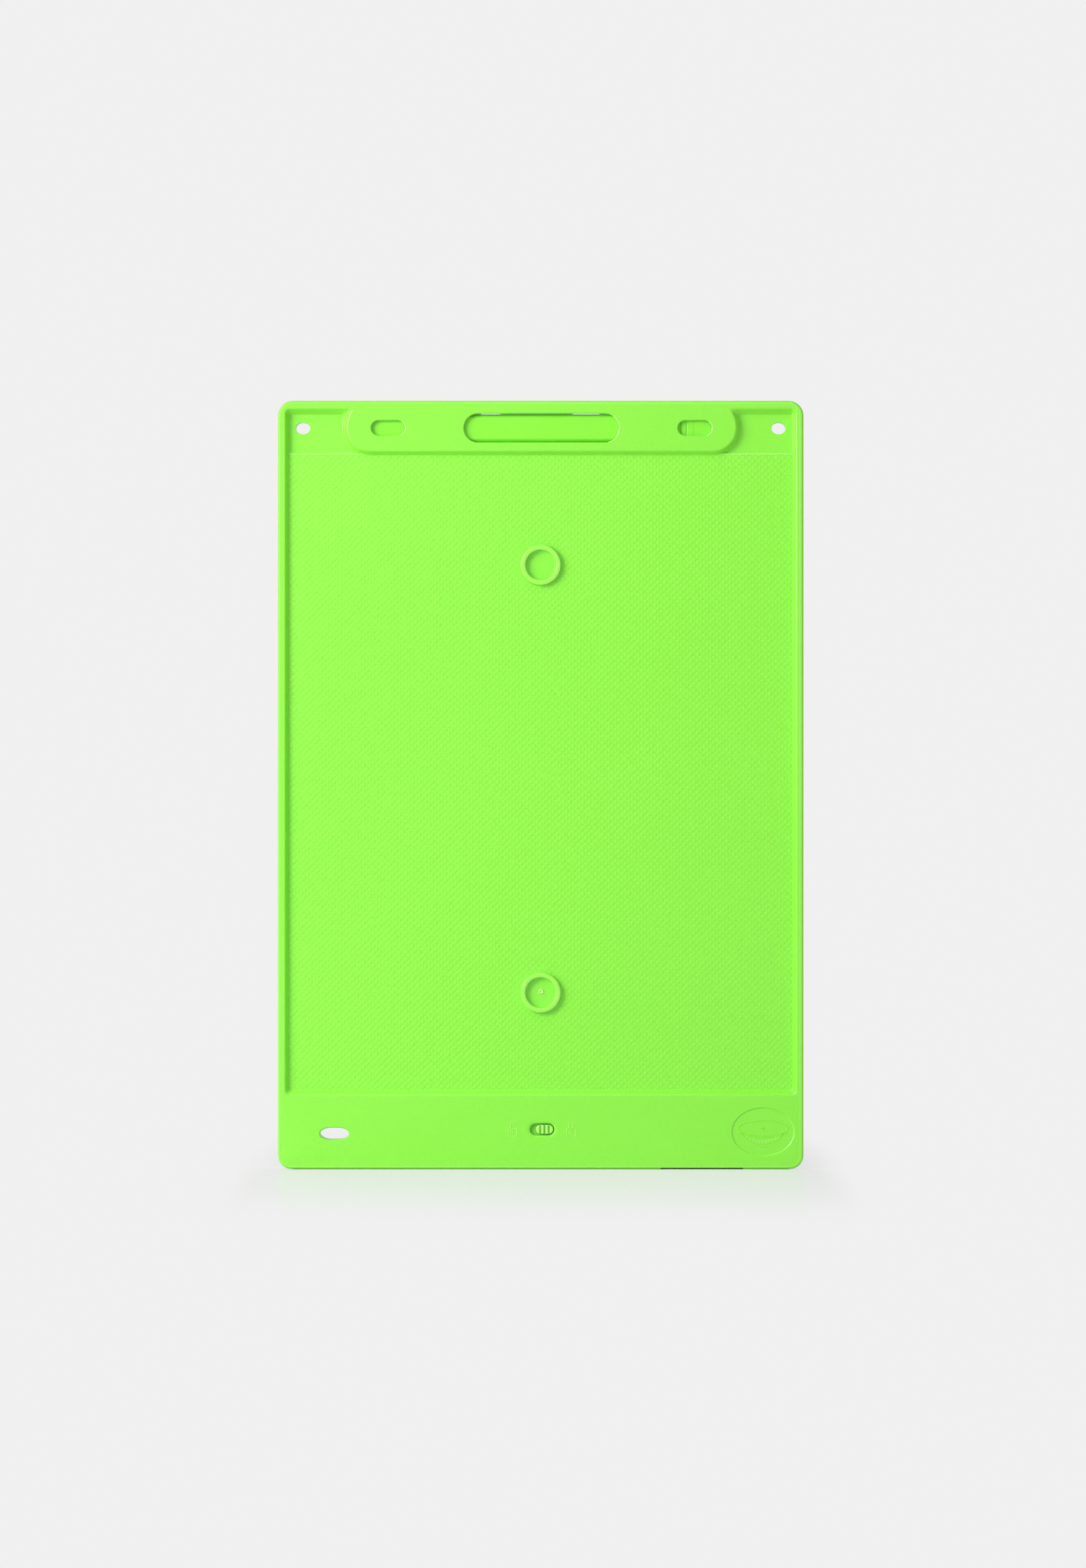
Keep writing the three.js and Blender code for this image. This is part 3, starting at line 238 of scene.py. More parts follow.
@dataclass
class SharedEffects:
    """Shader groups that more than one finish uses.

    A scale is a multiple of the group's own, and a pair is where a mask starts and ends.
    """

    broad_scale: float = 0.27
    broad_share: float = 0.8
    pit_scale: float = 0.6
    grain_mask: Point = (0.35, 0.65)
    smudge_mask: Point = (0.42, 0.72)
    dust_scale: float = 60.0
    dust_mask: Point = (0.7, 0.78)
    drift_mask: Point = (0.3, 0.7)

    def __post_init__(self) -> None:
        """Build the groups: moulded grain, smudges and dust, drift of tone, and tool lines."""
        origin, blank = (0.0, 0.0, 0.0), (0.0, 0.0, 0.0, 1.0)
        sheet = GroupSheet("moulded_grain", {"Vector": origin, "Scale": 3000.0, "Pits": 0.3},
                           {"Height": "Float", "Mask": "Float"})
        vector, scale = sheet.given["Vector"], sheet.given["Scale"]
        fine = sheet.noise(vector, scale, 3.0)
        broad = sheet.noise(vector, sheet.times(scale, self.broad_scale))
        spots = {"Vector": vector, "Scale": sheet.times(scale, self.pit_scale)}
        cells = sheet.out("ShaderNodeTexVoronoi", spots, feature="SMOOTH_F1")
        height = sheet.add(fine, sheet.times(broad, self.broad_share))
        self.grain = sheet.close({"Height": sheet.less(height, sheet.times(cells, sheet.given["Pits"])),
                                  "Mask": sheet.spread(fine, *self.grain_mask)})

        sheet = GroupSheet("handling", {"Vector": origin, "Scale": 45.0},
                           {"Smudge": "Float", "Dust": "Float"})
        vector, scale = sheet.given["Vector"], sheet.given["Scale"]
        specks = sheet.noise(vector, sheet.times(scale, self.dust_scale), 1.0)
        smudge = sheet.spread(sheet.noise(vector, scale, 3.0), *self.smudge_mask)
        self.handling = sheet.close({"Smudge": smudge, "Dust": sheet.spread(specks, *self.dust_mask)})

        sheet = GroupSheet("tone_drift", {"Vector": origin, "Colour": blank, "Deep": blank, "Scale": 12.0,
                                          "Amount": 0.1, "Speck": 0.0}, {"Colour": "Color"})
        given = sheet.given
        drift = sheet.spread(sheet.noise(given["Vector"], given["Scale"]), *self.drift_mask)
        share = sheet.maths("ADD", sheet.times(drift, given["Amount"]), given["Speck"], clamp=True)
        self.tint = sheet.close({"Colour": sheet.mix(share, given["Colour"], given["Deep"])})

        sheet = GroupSheet("tool_lines", {"Vector": origin, "Scale": 900.0, "Round": 0.0},
                           {"Height": "Float"})
        given = sheet.given
        across, _, up = sheet.split(given["Vector"])
        flat = sheet.times(up, sheet.less(1.0, given["Round"]))
        along = sheet.add(flat, sheet.times(sheet.reach(across, up), given["Round"]))
        self.lines = sheet.close({"Height": sheet.noise(sheet.point(along), given["Scale"], 4.0)})


class Surface(NodeSheet):
    """A material in the making."""

    def __init__(self, material: bpy.types.Material, effects: SharedEffects, centre: Place) -> None:
        """Start on a material.

        Args:
            material: The new material.
            effects: The shared shader groups.
            centre: Where its coordinates have their origin, in metres.
        """
        super().__init__(emptied(material))
        self.effects = effects
        spot = self.node("ShaderNodeTexCoord").outputs["Object"]
        shift = {"Vector": spot, "Location": [-value for value in centre]}
        self.vector = self.out("ShaderNodeMapping", shift)

    def place(self, group: bpy.types.NodeTree, inputs: Inputs) -> bpy.types.bpy_prop_collection:
        """Place a shader group on the surface's coordinates and return its outputs."""
        return self.node("ShaderNodeGroup", {"Vector": self.vector, **inputs}, node_tree=group).outputs


@dataclass(frozen=True)
class Finish:
    """One finish: its colour, gloss and fine relief.

    Relief sizes are in metres, and scales count cells to the metre.
    """

    name: str
    slot: str
    colour: Colour
    deep: Colour
    roughness: float = 0.45
    gloss_drift: float = 0.08
    dust_roughness: float = 0.2
    metallic: float = 0.0
    grain: Grain = Grain.SATIN
    scale: float = 3200.0
    depth: float = 0.000012
    drift: float = 0.25
    speck: float = 0.0
    coat: float = 0.0
    coat_roughness: float = 0.1
    level: float = 0.5
    centre: Place = (0.0, 0.0, 0.0)
    grain_share: float = 0.3
    fibre_share: float = 0.35

    def material(self, effects: SharedEffects) -> bpy.types.Material:
        """Build the finish's material.

        Args:
            effects: The shared shader groups.

        Returns:
            The new material.
        """
        material = bpy.data.materials.new(self.name)
        sheet = Surface(material, effects, self.centre)
        height, mask = self.relief(sheet)
        marks = sheet.place(effects.handling, {})
        rough = sheet.maths("MULTIPLY_ADD", marks["Smudge"], self.gloss_drift, self.roughness)
        rough = sheet.maths("MULTIPLY_ADD", marks["Dust"], self.dust_roughness, rough, clamp=True)
        bump = {"Strength": 1.0, "Distance": self.depth, "Height": height}
        shader = sheet.out("ShaderNodeBsdfPrincipled", {
            "Base Color": self.colouring(sheet, mask), "Metallic": self.metallic, "Roughness": rough,
            "Specular IOR Level": self.level, "Coat Weight": self.coat,
            "Coat Roughness": self.coat_roughness, "Normal": sheet.out("ShaderNodeBump", bump)})
        sheet.node("ShaderNodeOutputMaterial", {"Surface": shader})
        material.diffuse_color = rgba(self.colour)
        return material

    def relief(self, sheet: Surface) -> tuple[Socket, Socket]:
        """Place the relief that suits the finish.

        Args:
            sheet: The material in the making.

        Returns:
            The height, and a mask of its fine grain.
        """
        pits = 0.5 if self.grain is Grain.SPARKED else 0.1
        grain = sheet.place(sheet.effects.grain, {"Scale": self.scale, "Pits": pits})
        height = grain["Height"]
        if self.grain not in (Grain.SPARKED, Grain.SATIN):
            turned = 1.0 if self.grain is Grain.TURNED else 0.0
            share = self.fibre_share if self.grain is Grain.FIBROUS else 1.0
            lines = sheet.place(sheet.effects.lines, {"Scale": self.scale, "Round": turned})
            height = sheet.times(height, self.grain_share)
            height = sheet.maths("MULTIPLY_ADD", lines["Height"], share, height)
        return height, grain["Mask"]

    def colouring(self, sheet: Surface, mask: Socket) -> Socket:
        """Place the base colour with its drift, specks and marks.

        Args:
            sheet: The material in the making.
            mask: Mask of the fine grain.

        Returns:
            The base colour.
        """
        tones = {"Colour": rgba(self.colour), "Deep": rgba(self.deep), "Amount": self.drift,
                 "Speck": sheet.times(mask, self.speck)}
        colour = sheet.place(sheet.effects.tint, tones)["Colour"]
        for share, mark in self.marks(sheet):
            colour = sheet.mix(share, colour, rgba(mark))
        return colour

    def marks(self, sheet: Surface) -> Marks:
        """Return the marks over the base colour; a plain finish has none."""
        return []


@dataclass(frozen=True)
class CircuitFinish(Finish):
    """Solder mask over copper tracks and round pads."""

    copper: Colour = (0.035, 0.27, 0.07)
    pad: Colour = (0.55, 0.5, 0.42)
    track_pitch: float = 0.0016
    track_length: float = 0.0096
    track_width: float = 0.000256
    track_shift: float = 0.37
    pad_scale: float = 260.0
    pad_disorder: float = 0.6
    pad_edge: Point = (0.13, 0.11)

    def marks(self, sheet: Surface) -> Marks:
        """Draw the tracks and pads.

        Args:
            sheet: The material in the making.

        Returns:
            Their masks and colours.
        """
        turn = sheet.out("ShaderNodeMapping", {"Vector": sheet.vector, "Rotation": (QUARTER, 0, 0)})
        bricks = {"Vector": turn, "Scale": 1.0, "Brick Width": self.track_length,
                  "Row Height": self.track_pitch, "Mortar Size": self.track_width, "Mortar Smooth": 0.0}
        bricks = sheet.node("ShaderNodeTexBrick", bricks, offset=self.track_shift, squash=1.0)
        dots = {"Vector": turn, "Scale": self.pad_scale, "Randomness": self.pad_disorder}
        away = sheet.out("ShaderNodeTexVoronoi", dots, feature="F1")
        return [(bricks.outputs["Fac"], self.copper), (sheet.spread(away, *self.pad_edge), self.pad)]


@dataclass(frozen=True)
class RibbonFinish(Finish):
    """A flat ribbon with dark conductors along it."""

    conductor: Colour = (0.12, 0.045, 0.012)
    pitch: float = 0.0015
    edge: Point = (0.27, 0.23)

    def marks(self, sheet: Surface) -> Marks:
        """Return the mask and the colour of the conductors, which run along Z."""
        phase = sheet.maths("FRACT", sheet.maths("DIVIDE", sheet.split(sheet.vector)[0], self.pitch))
        return [(sheet.spread(sheet.size(sheet.less(phase, 0.5)), *self.edge), self.conductor)]


@dataclass(frozen=True)
class FilmFinish(Finish):
    """The glossy writing film with its paler sealed border."""

    border: Colour = (0.032, 0.04, 0.036)
    half_width: float = 0.0779
    low: float = 0.0275
    high: float = 0.2259
    edge: Point = (0.0014, 0.0011)

    def marks(self, sheet: Surface) -> Marks:
        """Draw the sealed border round the writing area.

        Args:
            sheet: The material in the making.

        Returns:
            Its mask and colour.
        """
        across, _, up = sheet.split(sheet.vector)
        side = sheet.less(self.half_width, sheet.size(across))
        height = sheet.size(sheet.less(up, (self.low + self.high) / 2))
        inside = sheet.maths("MINIMUM", side, sheet.less((self.high - self.low) / 2, height))
        return [(sheet.spread(inside, *self.edge), self.border)]


@dataclass(frozen=True)
class LitCrestFinish(Finish):
    """A finish painted lighter on its outermost faces, those furthest to -Y, as a painted highlight over a
    darker body.
    """

    polished: Colour = (0.45, 0.95, 0.17)
    crest: float = -0.00285
    foot: float = -0.00265

    def marks(self, sheet: Surface) -> Marks:
        """Return the mask and the colour of the painted highlight on the outermost faces."""
        depth = sheet.split(sheet.vector)[1]
        return [(sheet.spread(depth, self.crest, self.foot, 1.0, 0.0), self.polished)]


@dataclass
class FinishRack:
    """All finishes of the tablet, each built once when it is first asked for."""

    effects: SharedEffects = field(default_factory=SharedEffects)
    made: dict[str, bpy.types.Material] = field(default_factory=dict)

    shell: Finish = Finish("green_shell", "green_shell", (0.272, 0.865, 0.047), (0.234, 0.815, 0.036),
        roughness=0.42, grain=Grain.SPARKED, scale=2600.0, depth=0.00003, speck=0.5, coat=0.5,
        coat_roughness=0.13)
    gloss: Finish = Finish("green_gloss", "green_gloss", (0.26, 0.85, 0.045), (0.225, 0.8, 0.035),
        roughness=0.28, scale=1500.0, depth=0.000005)
    # The slider's darker green is painted shade over its grooves and dish, and its outermost faces are
    # painted lighter as a highlight.
    slider: Finish = LitCrestFinish("green_slider", "green_gloss", (0.2, 0.66, 0.035), (0.18, 0.62, 0.03),
        roughness=0.2, scale=1500.0, depth=0.000004)
    knurl: Finish = Finish("green_knurl", "green_shell", (0.28, 0.865, 0.056), (0.243, 0.82, 0.045),
        roughness=0.38, scale=2400.0, speck=0.4)
    # A paler green that paints highlights: on the rings' crowns, the rim line, the padlock signs and the
    # sign's hatch strokes.
    edge: Finish = Finish("green_edge_highlight", "green_gloss", (0.34, 0.88, 0.085), (0.3, 0.84, 0.07),
        roughness=0.3, scale=1500.0, depth=0.000005, coat=0.5, coat_roughness=0.15)
    # A pale green that paints the brightest highlights: on the step lips, the window beads and the gate
    # stub.
    bright: Finish = Finish("green_highlight", "green_gloss", (0.46, 0.95, 0.18), (0.42, 0.92, 0.15),
        roughness=0.16, scale=1500.0, depth=0.000003, coat=0.8, coat_roughness=0.06)
    film: Finish = FilmFinish("writing_film", "writing_film", (0.006, 0.0095, 0.008), (0.009, 0.013, 0.011),
        roughness=0.07, gloss_drift=0.06, scale=700.0, depth=0.000002, coat=0.6,
        coat_roughness=0.03)
    black: Finish = Finish("black_plastic", "black_plastic", (0.018, 0.018, 0.02), (0.03, 0.03, 0.032),
        roughness=0.5, grain=Grain.SPARKED, scale=3500.0, depth=0.00001)
    tape: Finish = Finish("white_tape", "tape", (0.78, 0.76, 0.7), (0.66, 0.63, 0.56), roughness=0.8,
        grain=Grain.FIBROUS, scale=2500.0, depth=0.00002, level=0.2)
    laminate: Finish = CircuitFinish("solder_mask", "laminate", (0.01, 0.13, 0.035), (0.008, 0.1, 0.028),
        roughness=0.3, scale=1200.0, depth=0.000008, coat=0.3)
    ribbon: Finish = RibbonFinish("flex_ribbon", "ribbon", (0.5, 0.21, 0.035), (0.42, 0.17, 0.03),
        roughness=0.3, depth=0.000004)
    steel: Finish = Finish("brushed_steel", "steel", (0.6, 0.61, 0.63), (0.5, 0.51, 0.53), roughness=0.26,
        metallic=1.0, grain=Grain.BRUSHED, scale=4000.0, depth=0.000004)
    cell: Finish = Finish("turned_steel", "steel", (0.63, 0.64, 0.65), (0.52, 0.53, 0.55), roughness=0.22,
        metallic=1.0, grain=Grain.TURNED, scale=3500.0, depth=0.000004,
        centre=(0.05205, 0.0, 0.0122))
    solder: Finish = Finish("tinned_solder", "steel", (0.7, 0.7, 0.71), (0.6, 0.6, 0.61), roughness=0.2,
        metallic=1.0, scale=2500.0, depth=0.00001)
    copper: Finish = Finish("enamelled_copper", "ribbon", (0.62, 0.2, 0.06), (0.45, 0.13, 0.04),
        roughness=0.25, metallic=1.0, depth=0.000004)
    ferrite: Finish = Finish("ferrite", "ferrite", (0.05, 0.05, 0.055), (0.08, 0.08, 0.085), roughness=0.6,
        grain=Grain.SPARKED, scale=5000.0, depth=0.00001)
    ceramic: Finish = Finish("tan_ceramic", "ceramic", (0.47, 0.31, 0.14), (0.4, 0.26, 0.11), roughness=0.4,
        scale=4000.0, depth=0.000006)

    def material(self, finish: Finish) -> bpy.types.Material:
        """Give the material of a finish, built on its first use.

        Args:
            finish: The finish wanted.

        Returns:
            Its material.
        """
        if finish.name not in self.made:
            self.made[finish.name] = finish.material(self.effects)
        return self.made[finish.name]

    def dress(self, piece: bpy.types.Object, finish: Finish) -> None:
        """Put a finish on every slot of a piece.

        Args:
            piece: The object.
            finish: The finish it gets.
        """
        material = self.material(finish)
        if not piece.material_slots:
            piece.data.materials.append(material)
        for slot in piece.material_slots:
            slot.material = material

    def piece(self, name: str, mesh: bpy.types.Mesh, finish: Finish) -> bpy.types.Object:
        """Make a piece of the case from a mesh.

        Args:
            name: The object's name.
            mesh: Its mesh, in metres.
            finish: The finish it gets.

        Returns:
            The new object.
        """
        piece = placed(name, mesh)
        self.dress(piece, finish)
        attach(piece, "case")
        LOG.info("%s: %d faces", name, len(mesh.polygons))
        return piece

    def moulding(self, name: str, work: bmesh.types.BMesh, finish: Finish) -> bpy.types.Object:
        """Make a piece of the case from mesh code, which is freed.

        Args:
            name: The object's name.
            work: The mesh in the making, in metres.
            finish: The finish it gets.

        Returns:
            The new object.
        """
        bmesh.ops.remove_doubles(work, verts=work.verts, dist=1e-7)
        bmesh.ops.recalc_face_normals(work, faces=work.faces)
        mesh = bpy.data.meshes.new(name)
        work.to_mesh(mesh)
        work.free()
        return self.piece(name, mesh, finish)

    def lines(self, name: str, lines: "Sequence[RaisedLine]", finish: Finish) -> None:
        """Make one piece of the case from raised lines.

        Args:
            name: The object's name.
            lines: The lines.
            finish: The finish it gets.
        """
        work = bmesh.new()
        for line in lines:
            line.add_to(work)
        self.moulding(name, work, finish)


@dataclass
class EdgeSoftener:
    """Rounds the sharp edges of the frame's own pieces, as a moulding tool leaves them."""

    smooth_angle: float = math.radians(28)
    bevel_angle: float = math.radians(47)
    flat_angle: float = math.radians(0.6)
    weld_distance: float = 0.000001
    bevel_steps: int = 2
    face_weight: int = 100
    tree: bpy.types.NodeTree = field(init=False)

    def __post_init__(self) -> None:
        """Build the tree that shades a mesh smooth up to a named angle."""
        sheet = GroupSheet("smooth_by_angle", {"Geometry": None, "Angle": self.smooth_angle},
                           {"Geometry": "Geometry"}, "GeometryNodeTree")
        bare = {"Geometry": sheet.given["Geometry"], "Name": "custom_normal"}
        bare = sheet.out("GeometryNodeRemoveAttribute", bare)
        faces = {"Geometry": bare, "Shade Smooth": True}
        faces = sheet.out("GeometryNodeSetShadeSmooth", faces, domain="FACE")
        angle = sheet.node("GeometryNodeInputMeshEdgeAngle").outputs["Unsigned Angle"]
        soft = sheet.out("FunctionNodeCompare", {0: angle, 1: sheet.given["Angle"]}, data_type="FLOAT",
                         operation="LESS_EQUAL")
        edges = {"Geometry": faces, "Shade Smooth": soft}
        edges = sheet.out("GeometryNodeSetShadeSmooth", edges, domain="EDGE")
        self.tree = sheet.close({"Geometry": edges})

    def soften(self, piece: bpy.types.Object, width: float) -> None:
        """Add the modifiers that join, round and shade a piece.

        Args:
            piece: The object.
            width: Width of the rounding, in metres; none is added at 0.
        """
        rounding = (("DECIMATE", {"decimate_type": "DISSOLVE", "angle_limit": self.flat_angle}),
                    ("TRIANGULATE", {}),
                    ("BEVEL", {"width": width, "segments": self.bevel_steps, "limit_method": "ANGLE",
                               "angle_limit": self.bevel_angle, "use_clamp_overlap": False,
                               "loop_slide": False, "miter_outer": "MITER_ARC"}))
        steps = (("WELD", {"merge_threshold": self.weld_distance}), *(rounding if width > 0 else ()),
                 ("NODES", {"node_group": self.tree}),
                 ("WEIGHTED_NORMAL", {"mode": "FACE_AREA", "weight": self.face_weight, "keep_sharp": True}))
        for kind, settings in steps:
            modifier = piece.modifiers.new(kind.lower(), kind)
            for label, value in settings.items():
                setattr(modifier, label, value)


Parts = tuple[tuple[str, Finish, float], ...]


@dataclass
class Detail:
    """Something that is made or dressed with the finishes of a rack."""

    rack: FinishRack


def metres(sizes: dict[str, object]) -> dict[str, float]:
    """Turn the numbers in millimetres among some values into named inputs in metres."""
    return {label.replace("_", " ").title(): size * MM for label, size in sizes.items()
            if isinstance(size, float)}


class Generator(GroupSheet):
    """A geometry node tree with named inputs, whose result becomes one plain piece of the case."""

    def __init__(self, name: str, values: dict[str, object], rack: FinishRack, finish: Finish) -> None:
        """Start the tree.

        Args:
            name: The name of the piece and the tree.
            values: The named inputs with their values, lengths in metres.
            rack: The finishes.
            finish: The finish that the piece gets.
        """
        self.values = {**values, "Material": rack.material(finish)}
        super().__init__(name, self.values, {"Geometry": "Geometry"}, "GeometryNodeTree")
        self.name, self.rack, self.finish = name, rack, finish

    def spot(self) -> tuple[Socket, Socket, Socket]:
        """Return the X, Y and Z of the position."""
        return self.split(self.out("GeometryNodeInputPosition"))

    def move(self, geometry: Socket, place: Socket) -> Socket:
        """Return the geometry with its points at another place."""
        return self.out("GeometryNodeSetPosition", {"Geometry": geometry, "Position": place})

    def block(self, x: Socket, y: Socket, z: Socket) -> Socket:
        """Return a block of a size."""
        return self.out("GeometryNodeMeshCube", {"Size": self.point(x, y, z)})

    def row(self, start: Socket, step: Socket, mode: str = "OFFSET") -> Socket:
        """Return Count points in a row, step being the last one's place in the mode END_POINTS."""
        run = {"Count": self.given["Count"], "Start Location": start, "Offset": step}
        return self.out("GeometryNodeMeshLine", run, mode=mode, count_mode="TOTAL")

    def copies(self, points: Socket, shape: Socket, turn: object) -> Socket:
        """Return real copies of a shape, one on each point, turned."""
        laid = {"Points": points, "Instance": shape, "Rotation": turn}
        return self.out("GeometryNodeRealizeInstances", {0: self.out("GeometryNodeInstanceOnPoints", laid)})

    def build(self, geometry: Socket) -> None:
        """Run the tree once and make its mesh a piece of the case.

        Args:
            geometry: The tree's result, without its material.
        """
        dress = {"Geometry": geometry, "Material": self.given["Material"]}
        self.close({"Geometry": self.out("GeometryNodeSetMaterial", dress)})
        host = placed(self.name + "_host", bpy.data.meshes.new(self.name + "_host"))
        modifier = host.modifiers.new("generate", "NODES")
        modifier.node_group = self.tree
        for label, value in self.values.items():
            modifier[self.keys[label]] = value
        graph = bpy.context.evaluated_depsgraph_get()
        mesh = bpy.data.meshes.new_from_object(host.evaluated_get(graph), depsgraph=graph)
        host.modifiers.clear()
        bpy.data.objects.remove(host)
        mesh.name = self.name
        self.rack.piece(self.name, mesh, self.finish)


class GripPads(Generator):
    """The tree that lays the pads of the grip panel."""

    def lay(self, slant: Place) -> Socket:
        """Lay the pads.

        Args:
            slant: The turn from the floor plane to the rows on the panel.

        Returns:
            The pads.
        """
        given = self.given
        span = self.times(given["Pitch"], self.less(given["Count"], 1.0))
        sides = {"Size X": span, "Size Y": span, "Vertices X": given["Count"], "Vertices Y": given["Count"]}
        grid = self.out("GeometryNodeMeshGrid", sides)
        middle = self.point(self.times(self.add(given["Left"], given["Right"]), 0.5), given["Face"],
                            self.times(self.add(given["Low"], given["High"]), 0.5))
        laid = {"Geometry": grid, "Rotation": slant, "Translation": middle}
        points = self.out("GeometryNodeMeshToPoints", {"Mesh": self.out("GeometryNodeTransform", laid)})
        kept = self.out("GeometryNodeDeleteGeometry", {"Geometry": points, "Selection": self.outside()},
                        domain="POINT")
        pads = self.copies(kept, self.pad(), slant)
        x, y, z = self.spot()
        return self.move(pads, self.point(self.held(x, "Left", "Right"), y, self.held(z, "Low", "High")))

    def held(self, value: Socket, low: str, high: str) -> Socket:
        """Return a value held between two named inputs."""
        return self.maths("MINIMUM", self.maths("MAXIMUM", value, self.given[low]), self.given[high])

    def outside(self, overhang: float = 0.32) -> Socket:
        """Select the points off the panel and under the two rings, which carry no pad.

        Args:
            overhang: Share of a pad's width by which its middle may lie past the border.

        Returns:
            The selection.
        """
        across, _, up = self.spot()
        margin = self.times(self.given["Base"], overhang)
        total = 0.0
        for value, low, high in ((across, "Left", "Right"), (up, "Low", "High")):
            total = self.add(total, self.maths("LESS_THAN", value, self.less(self.given[low], margin)))
            total = self.add(total, self.maths("GREATER_THAN", value, self.add(self.given[high], margin)))
        for label in ("Ring Low", "Ring High"):
            away = self.reach(across, self.less(up, self.given[label]))
            total = self.add(total, self.maths("LESS_THAN", away, self.given["Ring Radius"]))
        return self.maths("GREATER_THAN", total, 0.5)

    def pad(self) -> Socket:
        """Build one pad, a low block whose top, towards +Z, is drawn in.

        Returns:
            The pad.
        """
        given = self.given
        cube = self.block(given["Base"], given["Base"], self.add(given["Rise"], given["Sink"]))
        x, y, z = self.spot()
        drawn = self.less(self.maths("DIVIDE", given["Crown"], given["Base"]), 1.0)
        share = self.maths("MULTIPLY_ADD", self.maths("GREATER_THAN", z, 0.0), drawn, 1.0)
        half = self.times(self.less(given["Rise"], given["Sink"]), 0.5)
        return self.move(cube, self.point(self.times(x, share), self.times(y, share), self.add(z, half)))


@dataclass
class GripPanel(Detail):
    """The raised pads, set corner to corner, that cover the recessed panel of the back.

    Sizes are millimetres, and each becomes a named input of the tree.
    """

    face: float = -1.0
    left: float = -81.65
    right: float = 81.65
    low: float = 25.5
    high: float = 231.2
    pitch: float = 1.5
    base: float = 1.4
    crown: float = 0.78
    rise: float = 0.055
    sink: float = 0.02
    ring_low: float = 57.05
    ring_high: float = 195.4
    ring_radius: float = 6.9

    def build(self) -> None:
        """Lay the pads on the panel."""
        reach = math.hypot(self.right - self.left, self.high - self.low)
        values = {**metres(vars(self)), "Count": int(reach / self.pitch) + 2}
        maker = GripPads("grip_pads", values, self.rack, self.rack.knurl)
        maker.build(maker.lay((QUARTER, math.radians(45), 0.0)))


@dataclass
class RaisedLine:
    """A raised line of low section that runs over a flat face looking towards -Y.

    All sizes are millimetres. The points are X and Z.
    """

    points: Sequence[Point]
    face: float
    width: float = 0.34
    rise: float = 0.06
    sink: float = 0.03
    closed: bool = False
    shoulder: float = 0.28
    mitre: float = 0.5

    def sides(self) -> list[tuple[Vector, Vector]]:
        """Give each point with its offset to the side.

        Returns:
            Pairs of point and unit normal, with the normal stretched at corners.
        """
        count = len(self.points)
        spots = [Vector(point) for point in self.points]
        result = []
        for i, spot in enumerate(spots):
            before = (spot - spots[i - 1]).normalized() if i > 0 or self.closed else None
            after = None
            if i < count - 1 or self.closed:
                after = (spots[(i + 1) % count] - spot).normalized()
            along = (before or after) + (after or before)
            along.normalize()
            lean = abs(along.dot(before or after))
            result.append((spot, Vector((-along.y, along.x)) / max(lean, self.mitre)))
        return result

    def add_to(self, work: bmesh.types.BMesh) -> None:
        """Add the line's closed body to a mesh.

        Args:
            work: The mesh to add to.
        """
        profile = ((0.5, -self.sink), (0.5, 0.0), (self.shoulder, self.rise), (-self.shoulder, self.rise),
                   (-0.5, 0.0), (-0.5, -self.sink))
        rings = []
        for spot, normal in self.sides():
            ring = []
            for across, up in profile:
                place = spot + normal * across * self.width
                ring.append(work.verts.new((place.x * MM, (self.face - up) * MM, place.y * MM)))
            rings.append(ring)
        pairs = list(zip(rings, rings[1:]))
        if self.closed:
            pairs.append((rings[-1], rings[0]))
        for first, second in pairs:
            for i in range(len(profile)):
                j = (i + 1) % len(profile)
                work.faces.new((first[i], first[j], second[j], second[i]))
        if not self.closed:
            work.faces.new(rings[0])
            work.faces.new(list(reversed(rings[-1])))


def oval(centre: Point, half: Point, start: float = 0.0, end: float = 360.0,
         steps: int = 48) -> list[Point]:
    """Give the points of an arc of an ellipse.

    Args:
        centre: Its middle.
        half: Half its width and half its height.
        start: First angle, in degrees.
        end: Last angle, in degrees.
        steps: How many parts it is cut into.

    Returns:
        The points, without the last one where the arc is a full turn.
    """
    count = steps if abs(end - start) >= 360.0 else steps + 1
    turns = [math.radians(start + (end - start) * i / steps) for i in range(count)]
    return [(centre[0] + half[0] * math.cos(turn), centre[1] + half[1] * math.sin(turn)) for turn in turns]


def rounded_box(x0: float, z0: float, x1: float, z1: float, radius: float, steps: int = 5) -> list[Point]:
    """Give the outline of a box with round corners, counter-clockwise.

    Args:
        x0, z0: The lower left corner.
        x1, z1: The upper right corner.
        radius: Corner radius.
        steps: Parts to each corner.

    Returns:
        The outline's points.
    """
    corners = ((x1 - radius, z0 + radius, -90.0), (x1 - radius, z1 - radius, 0.0),
               (x0 + radius, z1 - radius, 90.0), (x0 + radius, z0 + radius, 180.0))
    return [point for x, z, start in corners
            for point in oval((x, z), (radius, radius), start, start + 90.0, steps)]


